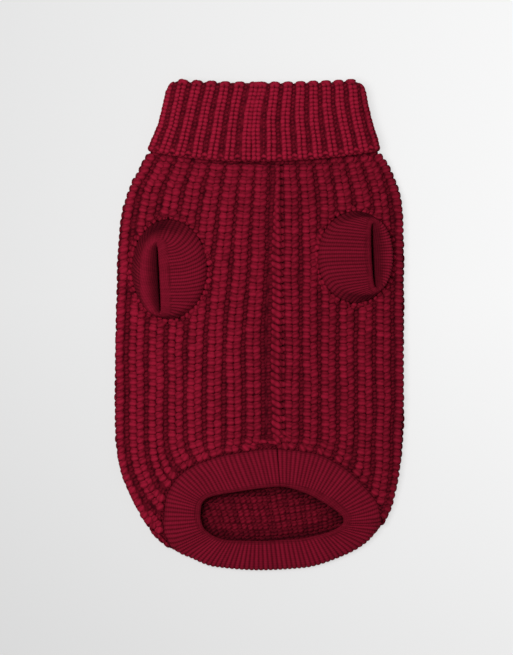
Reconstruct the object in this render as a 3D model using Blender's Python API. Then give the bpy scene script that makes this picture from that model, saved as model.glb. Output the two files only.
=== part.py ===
"""Dog sweater in chunky rib knit, laid flat on its back with the belly side up.

One panel wraps round the back and the belly, and its long edges meet in the belly seam.
A turned-down collar, a hem band and two leg cuffs are sewn to it. Every piece is a closed
wall with its ribs raised on the outside over a plain inside. The sweater lies on z = 0
with its collar towards +Y. The tables and the sizes below are in millimetres.
"""

import math

import bmesh
import bpy
import numpy as np

MM = 0.001
SEAM_GAP = 0.3  # between two pieces, or two edges, that are sewn together
QUARTER = math.pi / 2

# ---------------------------------------------------------------- the body panel

# The outline seen from above, over the raised ribs.
BODY_OUTLINE = {
    "y": (131, 127.5, 125, 121.5, 117, 110, 102, 93.5, 76, 50, 20, -20, -54, -80, -98, -115,
          -132, -141, -150, -161),
    "left": (-75.0, -75.8, -77.8, -82.0, -85.2, -88.8, -93.6, -96.8, -101.0, -103.0, -104.0,
             -104.9, -105.0, -104.8, -102.6, -97.5, -89.0, -83.9, -77.9, -66.0),
    "right": (81.6, 82.2, 84.0, 88.6, 92.4, 96.4, 99.6, 102.4, 104.6, 104.8, 104.9, 104.9,
              105.0, 104.2, 102.6, 99.7, 94.8, 90.8, 85.2, 74.0),
}

# One row for each level of the flattened tube. Lift is the underside's height where the
# back passes over the turned-down collar, gap is the space between the back and the
# belly, crown is how far the belly stands up in the middle, and fold is how wide the
# round of each side is. Seam_x is where the belly seam would be on a straight row, and
# pull is how far the left ribs crowd towards it, as a share of their width.
BODY_ROWS = ("level", "lift", "back_wall", "gap", "crown", "front_wall", "rib", "fold",
             "seam_x", "pull")
BODY_SECTIONS = (
    (131, 3.5, 3.0, 1.2, 0.0, 2.4, 0.4, 3.3, 15.4, 0.07),
    (127, 3.5, 3.0, 1.2, 0.2, 2.4, 0.5, 3.3, 15.5, 0.07),
    (122, 3.1, 3.1, 1.3, 0.4, 2.4, 0.8, 3.4, 15.6, 0.07),
    (115, 0.6, 3.5, 1.5, 0.9, 2.4, 1.8, 3.7, 15.8, 0.07),
    (110, 0.0, 3.7, 1.6, 1.2, 2.4, 2.4, 3.9, 15.9, 0.07),
    (95, 0.0, 3.8, 1.6, 1.5, 2.4, 2.4, 4.0, 16.1, 0.07),
    (54, 0.0, 3.8, 1.6, 1.5, 2.4, 2.4, 4.0, 16.4, 0.05),
    (-25, 0.0, 3.8, 1.6, 1.5, 2.4, 2.4, 4.0, 16.9, 0.0),
    (-80, 0.0, 3.8, 1.6, 1.4, 2.4, 2.4, 4.2, 17.0, 0.0),
    (-120, 0.0, 3.4, 3.2, 0.8, 2.4, 2.2, 6.0, 18.0, 0.0),
    (-160, 0.0, 2.6, 4.9, 0.0, 2.4, 1.6, 8.5, 20.8, 0.0),
)
BODY_LEVELS = (131, 127.5, 125, 121.5, 117, 110, 95, 80.5, 50, 9.5, -30, -80, -96, -112,
               -126, -138, -149, -160)

HEM_START = -80.0  # below this level the rows bend towards the hem seam
LEFT_END = -160.0  # where the hem seam passes round the left fold
RIGHT_END = -143.0  # and round the right fold

# The hem seam seen from above, from the left fold to the right one.
HEM_ARCH = ((-66, -160), (-70.8, -148), (-69.5, -128), (-60, -109), (-40, -97), (-16, -90.8),
            (11, -88), (39, -91), (62, -102), (80, -119), (89, -133), (90, -143))
HEM_UNDER = ((-66, -160), (-54, -162), (-38, -165.8), (-20, -168.2), (5, -169.3),
             (35, -166.8), (58, -160.5), (76, -152), (90, -143))
# Ribs that lie at a share of the panel's width reach the arch at this share of its length.
HEM_SPREAD = (
    (0, 0.03, 0.106, 0.169, 0.243, 0.313, 0.382, 0.453, 0.526, 0.6, 0.663, 0.724, 0.784, 0.845,
     0.911, 0.955, 1),
    (0, 0.085, 0.173, 0.252, 0.315, 0.362, 0.407, 0.463, 0.531, 0.593, 0.645, 0.695, 0.753,
     0.818, 0.9, 0.953, 1),
)

RIBS_LEFT = 8.6  # from the belly seam to the middle of the left fold
RIBS_RIGHT = 6.6
RIB_STEPS = 4  # points along one rib
BACK_STEPS = 18  # points across the plain back

ARMHOLES = {  # left, right, low and high reach of each armhole
    "left": (-93.2, -37.3, 3.6, 77.6),
    "right": (41.7, 97.0, 15.2, 83.4),
}
ARMHOLE_FLOOR = 4.6  # the cut stops between the back and the belly
ARMHOLE_SIDES = 56

# ---------------------------------------------------------------- the collar

COLLAR_OUTLINE = {
    "y": (178, 172, 163, 154, 145, 137, 128, 118),
    "left": (-65.5, -67.8, -70.0, -72.1, -74.5, -77.9, -81.6, -85.7),
    "right": (74.8, 77.2, 78.7, 80.8, 83.2, 85.9, 88.1, 90.6),
    "seam": (-0.4, -1.0, -2.8, -4.6, -5.5, -5.8, -5.9, -6.0),
}
COLLAR_WALL = 3.0
COLLAR_SLIT = 0.5  # between the inner tube and the part turned down over it
COLLAR_RIB = 1.8
NECK_GAP = 1.2  # the flattened neck opening
NECK_LEVEL = 7.1  # height of the middle of the neck opening
COLLAR_RIBS_LEFT = 6.75
COLLAR_RIBS_RIGHT = 8.75
SEAM_RIB = 0.8  # half the wide rib that the collar's seam runs down
FOLD_TOP = 176.0  # the fold's highest line at the middle
FOLD_RISE = 2.8  # how much higher it is near the corners
CORNER_DROP = 6.0
CORNER_START = 0.86  # share of the half width where the corner begins
FREE_FRONT = 119.0
FREE_FRONT_RISE = 8.6
FREE_BACK = 126.0
FREE_BACK_RISE = 1.6
FREE_LIFT = 1.2  # the free edge lies on the belly's ribs
BORDER_RIB = 0.45  # how much of the rib is left in the cast-off border

# ---------------------------------------------------------------- the hem band

BAND_WALL = 2.4
FOLD_GAP = 0.8  # how much further off the seam is where the hem's folds are tightest
BAND_RIB = 0.8
BAND_RIBS = 114
BAND_TURN_UP = 10.0  # how sharply it turns up over the tail end
BAND_STEPS = ((0, 0.0), (0, 0.5), (1, 0.0), (1, 0.25), (1, 0.6), (1, 1.0))
# Share of the way round from the belly seam, to the right first. Bend is the line half
# way across the band, the highest or the outermost one, and the edge is cast off.
BAND_ROWS = ("share", "bend_x", "bend_y", "bend_z", "edge_x", "edge_y", "edge_z")
BAND_SECTIONS = (
    (0.000, 13.8, -103.0, 10.4, 15.0, -117.3, 9.8),
    (0.070, 36.5, -106.8, 10.4, 32.0, -121.5, 9.8),
    (0.140, 56.0, -117.0, 10.4, 46.0, -128.5, 9.7),
    (0.205, 71.5, -130.5, 10.3, 57.5, -136.5, 9.6),
    (0.240, 78.6, -139.3, 10.0, 61.0, -141.3, 9.2),
    (0.265, 84.0, -146.2, 7.4, 59.7, -144.8, 8.7),
    (0.290, 79.5, -154.0, 4.6, 56.6, -147.2, 8.3),
    (0.340, 62.0, -165.4, 4.2, 47.7, -151.2, 8.0),
    (0.420, 31.0, -174.9, 4.2, 26.0, -155.3, 7.6),
    (0.500, -0.5, -176.5, 4.2, -0.5, -156.9, 7.5),
    (0.580, -32.5, -174.0, 4.2, -21.7, -156.2, 7.7),
    (0.625, -48.5, -168.0, 4.4, -31.0, -154.0, 8.1),
    (0.660, -58.9, -162.0, 6.2, -36.7, -150.7, 8.7),
    (0.690, -58.4, -151.6, 9.2, -40.5, -146.9, 9.1),
    (0.730, -56.3, -138.2, 10.3, -42.7, -138.5, 9.5),
    (0.765, -54.6, -128.0, 10.4, -42.3, -132.2, 9.7),
    (0.800, -50.9, -120.5, 10.4, -40.1, -127.5, 9.8),
    (0.830, -44.0, -114.0, 10.4, -35.8, -124.9, 9.8),
    (0.865, -32.8, -109.3, 10.4, -25.8, -122.5, 9.8),
    (0.900, -22.0, -107.0, 10.4, -15.2, -120.9, 9.8),
    (0.950, -2.8, -104.3, 10.4, 1.8, -118.4, 9.8),
)

# ---------------------------------------------------------------- the leg cuffs

CUFF_WALL = 2.0
CUFF_RIB = 0.6
CUFF_RIBS = 58
CUFF_EVEN = 3  # the ring whose ribs are evenly spaced
CUFF_CREST = 1.3  # more than 1 keeps the sides' heights nearer to the tips' ones
# One row for each ring of the cuff's middle surface, from the armhole to the free edge.
# The tips are its two ends along Y, and the three heights are those of its left side, its
# tips and its right side. Oval is 1 for an ellipse and less for fuller sides.
CUFF_ROWS = ("oval", "left", "tip", "right", "low", "high", "z_left", "z_tip", "z_right")
CUFF_RINGS = {
    "cuff_left": (
        (1.00, -91.2, -65.2, -39.3, 5.6, 75.6, 6.9, 6.9, 6.9),
        (1.00, -91.1, -65.6, -39.4, 5.8, 75.3, 10.0, 9.8, 10.2),
        (0.90, -89.6, -70.0, -43.5, 6.8, 69.0, 13.2, 12.0, 13.9),
        (0.80, -85.6, -73.5, -55.0, 8.4, 61.0, 14.9, 13.6, 15.6),
        (0.75, -82.3, -74.8, -65.0, 10.4, 57.5, 14.2, 14.2, 15.9),
        (0.75, -79.6, -75.8, -72.7, 13.0, 54.0, 12.4, 14.4, 15.6),
    ),
    "cuff_right": (
        (1.00, 43.7, 69.3, 95.0, 17.2, 81.4, 6.9, 6.9, 6.9),
        (1.00, 43.8, 69.8, 94.9, 17.4, 81.2, 10.2, 9.8, 10.0),
        (0.90, 47.0, 75.0, 95.2, 20.0, 79.6, 13.9, 11.8, 12.6),
        (0.85, 58.5, 80.0, 94.4, 22.2, 77.8, 15.5, 13.2, 14.7),
        (0.80, 70.5, 83.2, 92.3, 24.4, 75.6, 15.9, 14.2, 15.6),
        (0.80, 81.6, 85.6, 89.8, 26.2, 73.4, 15.6, 15.1, 15.0),
    ),
}

COLOURS = {  # linear colour of each piece's yarn
    "body": (0.200, 0.008, 0.022),
    "collar": (0.225, 0.010, 0.026),
    "hem_band": (0.190, 0.008, 0.022),
    "cuff_left": (0.190, 0.008, 0.022),
    "cuff_right": (0.190, 0.008, 0.022),
}
YARN_ROUGHNESS = 0.9


# ---------------------------------------------------------------- tables and curves

def smooth(rows, values, at):
    """A cubic through a table's rows that never swings past them."""
    order = np.argsort(rows)
    x = np.asarray(rows, float)[order]
    y = np.asarray(values, float)[order]
    rise = np.diff(y) / np.diff(x)
    slope = np.zeros(len(x))
    alike = rise[:-1] * rise[1:] > 0
    both = np.where(alike, rise[:-1] + rise[1:], 1.0)
    slope[1:-1] = np.where(alike, 2 * rise[:-1] * rise[1:] / both, 0.0)
    slope[0], slope[-1] = rise[0], rise[-1]
    k = np.clip(np.searchsorted(x, at) - 1, 0, len(x) - 2)
    h = x[k + 1] - x[k]
    t = (at - x[k]) / h
    return ((1 + 2 * t) * (1 - t) ** 2 * y[k] + t * (1 - t) ** 2 * h * slope[k]
            + t * t * (3 - 2 * t) * y[k + 1] + t * t * (t - 1) * h * slope[k + 1])


def column(names, table, name, at):
    """One named column of a table, read at any value of its first column."""
    values = np.array(table, float)
    return smooth(values[:, 0], values[:, names.index(name)], at)


def along(points, share):
    """Plan points at a share of the length of a smooth curve through the points."""
    points = np.array(points, float)
    chord = np.concatenate([[0], np.cumsum(np.linalg.norm(np.diff(points, axis=0), axis=1))])
    fine = np.linspace(0, chord[-1], 400)
    path = np.column_stack([smooth(chord, points[:, k], fine) for k in (0, 1)])
    length = np.concatenate([[0], np.cumsum(np.linalg.norm(np.diff(path, axis=0), axis=1))])
    at = np.asarray(share) * length[-1]
    return np.stack([np.interp(at, length, path[:, k]) for k in (0, 1)], axis=-1)


def ease(t):
    """A smooth step from 0 to 1."""
    t = np.clip(t, 0, 1)
    return t * t * (3 - 2 * t)


def rib_shape(phase):
    """Height of a chunky rib, from 0 in a valley at whole numbers to 1 on its crest."""
    return np.abs(np.sin(math.pi * phase)) ** 0.6


# ---------------------------------------------------------------- samples round a tube

def rib_samples(ribs, first):
    """Rib counts from the seam to the fold, with closer points on the round of the fold."""
    flat = np.arange(first, ribs - 0.55, 1 / RIB_STEPS)
    return np.concatenate([flat, np.linspace(flat[-1] + 0.2, ribs, 4)])


def plain_points(samples, ribs, first):
    """Which of the points the plain inside needs: two on each rib, the fold and the seam."""
    doubled = 2 * (samples - first)
    even = np.abs(doubled - np.round(doubled)) < 0.02
    return (even & (samples >= first)) | (samples > ribs - 0.8) | (samples == 0)


def back_samples():
    """Shares of the way from the right fold to the left one across the back."""
    fold = np.array([0.008, 0.017, 0.028])
    flat = np.linspace(0.045, 0.955, BACK_STEPS)
    return np.concatenate([fold, flat, 1 - fold[::-1]])


def round_samples(ribs_right, ribs_left, first_rib):
    """Every point round a flattened tube, from the seam to the right and back to it.

    Side is +1 right and -1 left, face +1 belly and -1 back, and reach is the share of the
    way from the fold to the seam or to the back's middle. Ribs is the count from the seam,
    and plain marks the points that the unribbed inside is made from.
    """
    start = np.arange(0, first_rib - 0.01, first_rib / 4)
    right = np.concatenate([start, rib_samples(ribs_right, first_rib)])
    left = np.concatenate([start, rib_samples(ribs_left, first_rib)])
    back = back_samples()
    half = np.where(back < 0.5, back, 1 - back) * 2
    back_ribs = np.where(back < 0.5, ribs_right, ribs_left) + 8 * half
    return {
        "plain": np.concatenate([plain_points(right, ribs_right, first_rib), back > 0,
                                 plain_points(left, ribs_left, first_rib)[::-1]]),
        "side": np.concatenate([np.ones(len(right)), np.where(back < 0.5, 1, -1),
                                -np.ones(len(left))]),
        "face": np.concatenate([np.ones(len(right)), -np.ones(len(back)), np.ones(len(left))]),
        "reach": np.concatenate([1 - right / ribs_right, half, (1 - left / ribs_left)[::-1]]),
        "ribs": np.concatenate([right, back_ribs, left[::-1]]),
    }


# ---------------------------------------------------------------- body panel

def body_folds(level):
    """Plan positions of the left and the right fold at a level."""
    below = np.minimum(level - HEM_START, 0) / (LEFT_END - HEM_START)
    left_y = np.asarray(level, float)
    right_y = np.where(left_y < HEM_START, HEM_START + below * (RIGHT_END - HEM_START), left_y)
    left_x = smooth(BODY_OUTLINE["y"], BODY_OUTLINE["left"], left_y)
    right_x = smooth(BODY_OUTLINE["y"], BODY_OUTLINE["right"], right_y)
    return left_x, left_y, right_x, right_y


def body_plan(level, across, face):
    """Where a point at a share of the width lies, seen from above.

    Down to HEM_START the rows are straight. Below it they are drawn between the last
    straight row, the two folds and the hem seam.
    """
    left_x, left_y, right_x, right_y = body_folds(level)
    left = np.stack(np.broadcast_arrays(left_x, left_y), -1)
    right = np.stack(np.broadcast_arrays(right_x, right_y), -1)
    across = across[..., None]
    if level >= HEM_START:
        return left + across * (right - left)
    down = (level - HEM_START) / (LEFT_END - HEM_START)
    top_left_x, _, top_right_x, _ = body_folds(HEM_START)
    top_left = np.array([float(top_left_x), HEM_START])
    top_right = np.array([float(top_right_x), HEM_START])
    top = top_left + across * (top_right - top_left)
    share = np.clip(across[..., 0], 0, 1)
    spread = smooth(*HEM_SPREAD, share)
    seam = np.where(face[..., None] > 0, along(HEM_ARCH, spread), along(HEM_UNDER, share))
    seam_left = np.array(HEM_ARCH[0], float)
    seam_right = np.array(HEM_ARCH[-1], float)
    left_bulge = left - bent(top_left, seam_left, down)
    right_bulge = right - bent(top_right, seam_right, down)
    return bent(top, seam, down) + (1 - across) ** 4 * left_bulge + across ** 4 * right_bulge


def bent(start, end, t):
    """A point on a curve that leaves its start straight down the panel."""
    reach = np.linalg.norm(end - start, axis=-1, keepdims=True)
    leaving = reach * np.array([0.0, -1.0])
    return start + t * (1 - t) ** 2 * leaving + t * t * (2 - t) * (end - start)


def body_row(level, samples):
    """The panel's unribbed outer points at one level, with its rib and wall there."""
    size = {name: column(BODY_ROWS, BODY_SECTIONS, name, level) for name in BODY_ROWS[1:]}
    side, face = samples["side"], samples["face"]
    left_x, _, right_x, _ = body_folds(level)
    edge = np.where(side > 0, right_x, left_x) - side * size["rib"]
    seam = size["seam_x"] + side * SEAM_GAP / 2
    middle = np.where(face > 0, seam, (left_x + right_x) / 2)
    low = size["lift"]
    high = low + size["back_wall"] + size["gap"] + size["front_wall"]
    radius = (high - low) / 2
    span = np.abs(edge - middle)
    round_length = QUARTER * (radius + size["fold"]) / 2
    reach = samples["reach"]
    crowded = np.where((side < 0) & (face > 0), size["pull"] * 4 * reach * (1 - reach), 0)
    run = (reach + crowded) * (span - size["fold"] + round_length)
    turn = np.minimum(run / round_length, 1) * QUARTER
    flat = np.maximum(run - round_length, 0) / (span - size["fold"])
    crown = np.where(face > 0, size["crown"] * (1 - (1 - flat) ** 2), 0)
    x = edge - side * (size["fold"] * (1 - np.cos(turn)) + flat * (span - size["fold"]))
    z = (low + high) / 2 + face * radius * np.sin(turn) + crown
    plan = body_plan(level, (x - left_x) / (right_x - left_x), face)
    fade = np.where(face > 0, 1, np.cos(turn) ** 2)
    raised = size["rib"] * rib_shape(samples["ribs"]) * fade
    flat_wall = np.where(face > 0, size["front_wall"], size["back_wall"])
    side_wall = (size["front_wall"] + size["back_wall"]) / 2
    thick = flat_wall + (side_wall - flat_wall) * np.cos(turn)
    return np.concatenate([plan, z[:, None]], axis=1), raised, thick, low


def body_surface(levels):
    """The panel's unribbed outer points, their normals, its ribs, wall and underside."""
    samples = round_samples(RIBS_RIGHT, RIBS_LEFT, 1.0)
    rows = [body_row(level, samples) for level in levels]
    surface = np.stack([row[0] for row in rows], axis=1)
    raised = np.stack([row[1] for row in rows], axis=1)
    thick = np.stack([row[2] for row in rows], axis=1)
    low = np.array([row[3] for row in rows])
    straight = np.array(levels) >= HEM_START
    return samples, surface, normals(surface, straight), raised, thick, low


def make_body():
    samples, surface, normal, raised, thick, low = body_surface(BODY_LEVELS)
    outer = surface + normal * raised[:, :, None]
    outer[:, :, 2] = np.maximum(outer[:, :, 2], low[None, :])
    inner = surface - normal * thick[:, :, None]
    return wall("body", outer, inner, samples["plain"])


def cut_armholes(body):
    """An oval cut through the belly layer for each front leg."""
    for name, (left, right, low, high) in ARMHOLES.items():
        bpy.ops.mesh.primitive_cylinder_add(
            vertices=ARMHOLE_SIDES, radius=0.5, depth=30 * MM,
            location=((left + right) / 2 * MM, (low + high) / 2 * MM,
                      (ARMHOLE_FLOOR + 15) * MM))
        cutter = bpy.context.object
        cutter.name = "armhole_cutter_" + name
        cutter.scale = ((right - left) * MM, (high - low) * MM, 1)
        cutter.hide_render = True
        cutter.display_type = "WIRE"
        move_to(cutter, "cutters")
        cut = body.modifiers.new("armhole_" + name, "BOOLEAN")
        cut.operation = "DIFFERENCE"
        cut.solver = "EXACT"
        cut.object = cutter


# ---------------------------------------------------------------- collar

def collar_stations():
    """Steps of the folded wall, from the neck seam over the fold to the free edge.

    Each is the share of its stretch, the turn of the fold, and how much rib it carries.
    """
    tube = [("tube", share, 0.0, 0.0) for share in (0.0, 0.36, 0.68)]
    fold = [("fold", 0.0, math.radians(turn), rib)
            for turn, rib in ((0, 0.0), (45, 0.45), (90, 0.9), (135, 1.0), (180, 1.0))]
    flap = [("flap", share, math.pi, rib)
            for share, rib in ((0.3, 1.0), (0.62, 1.0), (0.88, 1.0), (1.0, BORDER_RIB))]
    return tube + fold + flap


def collar_rings(samples, stretch, share, turn, rib):
    """The points of the cloth's outside and inside at one station of the folded wall."""
    side, face = samples["side"], samples["face"]
    ribs_to_fold = np.where(side > 0, COLLAR_RIBS_RIGHT, COLLAR_RIBS_LEFT)
    wide = 1 - samples["reach"]
    corner = CORNER_DROP * ease((wide - CORNER_START) / (1 - CORNER_START))
    top = FOLD_TOP + FOLD_RISE * wide ** 2 - corner
    free = np.where(face > 0, FREE_FRONT + FREE_FRONT_RISE * wide ** 2,
                    FREE_BACK + FREE_BACK_RISE * wide ** 2)
    bend = COLLAR_WALL + COLLAR_SLIT / 2
    centre = top - bend - COLLAR_RIB * 0.9
    neck = BODY_SECTIONS[0][0] + SEAM_GAP
    base = {"tube": neck + share * (centre - neck), "fold": centre,
            "flap": centre + share * (free - centre)}[stretch]
    phase = np.where(samples["ribs"] < SEAM_RIB, 0.5, samples["ribs"] - SEAM_RIB)
    rounding = np.clip(samples["ribs"] - ribs_to_fold, 0, 1)
    under = np.where(face > 0, 1, np.maximum(1 - 2.5 * rounding, 0))
    raised = rib * COLLAR_RIB * rib_shape(phase) * under
    lifted = FREE_LIFT * share ** 2 if stretch == "flap" else 0.0

    rings = []
    for thick, height in ((bend, raised), (COLLAR_SLIT / 2, 0.0)):
        radial = bend - (thick + height) * math.cos(turn)
        y = base + (thick + height) * math.sin(turn)
        rings.append(neck_ring(samples, y, radial, lifted))
    return rings


def neck_ring(samples, y, radial, lifted):
    """The neck opening's flattened outline, moved out by a radial distance."""
    side, face = samples["side"], samples["face"]
    depth = COLLAR_RIB + 2 * COLLAR_WALL + COLLAR_SLIT
    left = smooth(COLLAR_OUTLINE["y"], COLLAR_OUTLINE["left"], y) + depth
    right = smooth(COLLAR_OUTLINE["y"], COLLAR_OUTLINE["right"], y) - depth
    edge = np.where(side > 0, right, left)
    seam = smooth(COLLAR_OUTLINE["y"], COLLAR_OUTLINE["seam"], y) + side * SEAM_GAP / 2
    middle = np.where(face > 0, seam, (left + right) / 2)
    span = np.abs(edge - middle)
    whole = NECK_GAP / 2 + depth - COLLAR_RIB
    run = samples["reach"] * (span + (QUARTER - 1) * whole)
    turn = np.minimum(run / whole, QUARTER)
    flat = np.maximum(run - QUARTER * whole, 0) / (span + (QUARTER - 1) * whole - QUARTER * whole)
    radius = NECK_GAP / 2 + radial
    x = edge + side * radial - side * (radius * (1 - np.cos(turn))
                                       + flat * (span + radial - radius))
    z = NECK_LEVEL + face * radius * np.sin(turn) + np.where(face > 0, lifted, 0) * np.sin(turn)
    return np.stack(np.broadcast_arrays(x, y, np.maximum(z, 0)), axis=-1)


def make_collar():
    samples = round_samples(COLLAR_RIBS_RIGHT, COLLAR_RIBS_LEFT, SEAM_RIB)
    rings = [collar_rings(samples, *station) for station in collar_stations()]
    outer = np.stack([ring[0] for ring in rings], axis=1)
    inner = np.stack([ring[1] for ring in rings], axis=1)
    return wall("collar", outer, inner, samples["plain"])


# ---------------------------------------------------------------- fine-rib bands

def rib_both_sides(middle, half, rib, fade):
    """A band's outside and inside, half its wall each side of its middle surface.

    Every second point round it is a crest, and fade holds the rib's share at each step of
    the band's width. The underside stays plain.
    """
    normal = normals(middle)
    crest = (np.arange(len(middle)) % 2)[:, None] * np.array(fade)[None, :]
    resting = np.clip(1 + 1.5 * normal[:, :, 2], 0, 1)
    outer = middle + normal * (half + rib * crest * resting)[:, :, None]
    inner = middle - normal * half
    return outer, inner


def hem_seam(share):
    """The band's sewn edge at shares of its length, its normals and its way onward.

    It runs beside the body panel's last row, a seam's gap further on and more round the
    tight folds.
    """
    _, surface, normal, _, _, _ = body_surface(BODY_LEVELS[-3:])
    edge, facing = surface[:, -1], normal[:, -1]
    onward = unit(np.cross(unit(bisector(edge)), facing))
    folded = 1 - facing[:, 2] ** 2
    folded = np.maximum(folded, np.maximum(np.roll(folded, 1), np.roll(folded, -1)))
    edge = edge + onward * (SEAM_GAP + FOLD_GAP * np.sqrt(folded))[:, None]
    length = np.concatenate([[0], np.cumsum(np.linalg.norm(np.diff(edge, axis=0), axis=1))])
    at = share * length[-1]
    place, facing, onward = (
        np.stack([np.interp(at, length, values[:, k]) for k in range(3)], axis=-1)
        for values in (edge, facing, onward))
    return place, unit(facing), unit(onward)


def band_points(names, share):
    """Three columns of the band's table, read on past both of its ends."""
    table = np.array(BAND_SECTIONS, float)
    before, after = table[-3:].copy(), table[:3].copy()
    before[:, 0] -= 1
    after[:, 0] += 1
    whole = np.concatenate([before, table, after])
    return np.stack([column(BAND_ROWS, whole, name, share) for name in names], axis=-1)


def turned(start, leaving, end, arriving, t):
    """A point on a cubic with a given way of leaving its start and reaching its end."""
    return ((1 + 2 * t) * (1 - t) ** 2 * start + t * (1 - t) ** 2 * leaving
            + t * t * (3 - 2 * t) * end + t * t * (t - 1) * arriving)


def band_middle(share):
    """The band's middle surface, from its seam over its bend to its free edge."""
    place, facing, onward = hem_seam(share)
    seam = place - facing * BAND_WALL / 2
    bend = band_points(BAND_ROWS[1:4], share)
    edge = band_points(BAND_ROWS[4:], share)
    under = (1 - facing[:, 2:]) / 2
    over = (1 - under) * (edge - seam) / 2 + under * np.array([0, 0, BAND_TURN_UP])
    leaving = onward * np.linalg.norm(bend - seam, axis=-1, keepdims=True)
    spans = ((seam, leaving, bend, over), (bend, over, edge, edge - bend))
    return place, facing, np.stack([turned(*spans[k], t) for k, t in BAND_STEPS], axis=1)


def make_hem_band():
    share = np.linspace(0.0005, 0.9995, 2 * BAND_RIBS + 1)
    place, facing, middle = band_middle(share)
    outer, inner = rib_both_sides(middle, BAND_WALL / 2, BAND_RIB, (0, 1, 1, 1, 0.6, 0))
    outer[:, 0] = place
    inner[:, 0] = place - facing * BAND_WALL
    outer[:, :, 2] = np.maximum(outer[:, :, 2], 0)
    return wall("hem_band", outer, inner, np.arange(len(share)) % 2 == 0)


def half_ring(row, side, turn):
    """One side of a cuff's ring, from its low tip at -90 degrees to its high one."""
    size = dict(zip(CUFF_ROWS, row))
    wide, tall = np.abs(np.cos(turn)), np.sin(turn)
    x = size["tip"] + (size[side] - size["tip"]) * wide ** size["oval"]
    y = (size["low"] + size["high"]) / 2 + (size["high"] - size["low"]) / 2 * tall
    z = size["z_tip"] + (size["z_" + side] - size["z_tip"]) * wide ** CUFF_CREST
    return np.stack([x, y, z], axis=-1)


def even_turns(row, side):
    """The angles that space one ring's points evenly."""
    fine = np.linspace(-QUARTER, QUARTER, 200)
    steps = np.linalg.norm(np.diff(half_ring(row, side, fine), axis=0), axis=1)
    length = np.concatenate([[0], np.cumsum(steps)])
    return np.interp(np.linspace(0, length[-1], CUFF_RIBS + 1), length, fine)


def cuff_middle(name):
    """A cuff's middle surface, from its low tip up its left side and down its right one."""
    rings = CUFF_RINGS[name]
    left, right = (even_turns(rings[CUFF_EVEN], side) for side in ("left", "right"))
    return np.stack([np.concatenate([half_ring(row, "left", left),
                                     half_ring(row, "right", right[::-1])[1:]])
                     for row in rings], axis=1)


def make_cuff(name):
    """A short tube that stands in its armhole and flops over to one side."""
    middle = cuff_middle(name)
    ends = (middle[1] - middle[0], middle[-1] - middle[-2])
    middle[0] += unit(ends[0]) * SEAM_GAP / 2
    middle[-1] -= unit(ends[1]) * SEAM_GAP / 2
    outer, inner = rib_both_sides(middle, CUFF_WALL / 2, CUFF_RIB, (1, 1, 1, 1, 0.6, 0))
    return wall(name, outer, inner, np.arange(len(middle)) % 2 == 0)


# ---------------------------------------------------------------- meshes

def unit(vectors):
    return vectors / np.linalg.norm(vectors, axis=-1, keepdims=True)


def bisector(points):
    """The direction along a row of points at each of them, midway between its two sides."""
    steps = unit(np.diff(points, axis=0))
    return np.concatenate([steps[:1], steps[:-1] + steps[1:], steps[-1:]])


def normals(surface, straight=None):
    """The outward normals of a grid that runs round a tube first, and then along it.

    Rows marked straight stay in their own plane, square to Y.
    """
    around = bisector(surface)
    along_tube = np.swapaxes(bisector(np.swapaxes(surface, 0, 1)), 0, 1)
    if straight is not None:
        along_tube[:, straight] = (0, -1, 0)
    return unit(np.cross(along_tube, around))


def wall(name, outer, inner, plain):
    """A closed wall between two grids of points, the first index running round the tube.

    The inside uses only the points marked plain.
    """
    steps = outer.shape[1]
    mesh = bmesh.new()
    out = [[mesh.verts.new(p * MM) for p in line] for line in outer]
    inn = {i: [mesh.verts.new(p * MM) for p in inner[i]] for i in np.flatnonzero(plain)}
    for i in range(len(out) - 1):
        for j in range(steps - 1):
            mesh.faces.new((out[i][j], out[i][j + 1], out[i + 1][j + 1], out[i + 1][j]))
    kept = sorted(inn)
    for i, k in zip(kept, kept[1:]):
        for j in range(steps - 1):
            mesh.faces.new((inn[i][j], inn[k][j], inn[k][j + 1], inn[i][j + 1]))
        middle = (i + k + 1) // 2
        for j in (0, steps - 1):
            for m in range(i, k):
                near = inn[i] if m < middle else inn[k]
                mesh.faces.new((out[m][j], out[m + 1][j], near[j]))
            mesh.faces.new((out[middle][j], inn[k][j], inn[i][j]))
    for i in (0, len(out) - 1):
        for j in range(steps - 1):
            mesh.faces.new((out[i][j], out[i][j + 1], inn[i][j + 1], inn[i][j]))
    bmesh.ops.recalc_face_normals(mesh, faces=mesh.faces)
    data = bpy.data.meshes.new(name)
    mesh.to_mesh(data)
    mesh.free()
    data.materials.append(yarn(name))
    piece = bpy.data.objects.new(name, data)
    bpy.context.scene.collection.objects.link(piece)
    move_to(piece, "dog_sweater")
    return piece


def yarn(name):
    """The piece's dyed yarn."""
    material = bpy.data.materials.new(name + "_yarn")
    material.use_nodes = True
    shader = material.node_tree.nodes["Principled BSDF"]
    shader.inputs["Base Color"].default_value = (*COLOURS[name], 1)
    shader.inputs["Roughness"].default_value = YARN_ROUGHNESS
    shader.inputs["Metallic"].default_value = 0
    return material


def move_to(thing, collection_name):
    """Put an object in a named collection and nowhere else."""
    collection = bpy.data.collections.get(collection_name)
    if collection is None:
        collection = bpy.data.collections.new(collection_name)
        bpy.context.scene.collection.children.link(collection)
    for holder in list(thing.users_collection):
        holder.objects.unlink(thing)
    collection.objects.link(thing)


def main():
    for thing in list(bpy.data.objects):
        bpy.data.objects.remove(thing, do_unlink=True)
    body = make_body()
    cut_armholes(body)
    make_collar()
    make_hem_band()
    for name in CUFF_RINGS:
        make_cuff(name)


main()
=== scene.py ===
# %% [markdown]
# # A dog sweater in chunky rib knit, laid flat
#
# The sweater lies on its back with the belly side up and the collar towards +Y. One thick
# ribbed panel wraps round the body, and its edges meet in a seam down the belly. A collar
# is turned down at the neck, a fine-rib band edges the hem, and two short cuffs stand in
# the armholes. Each piece here is a thin closed wall on the form of its CAD solid, with
# its stitches laid on it as separate small forms.

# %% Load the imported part
import math

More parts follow.
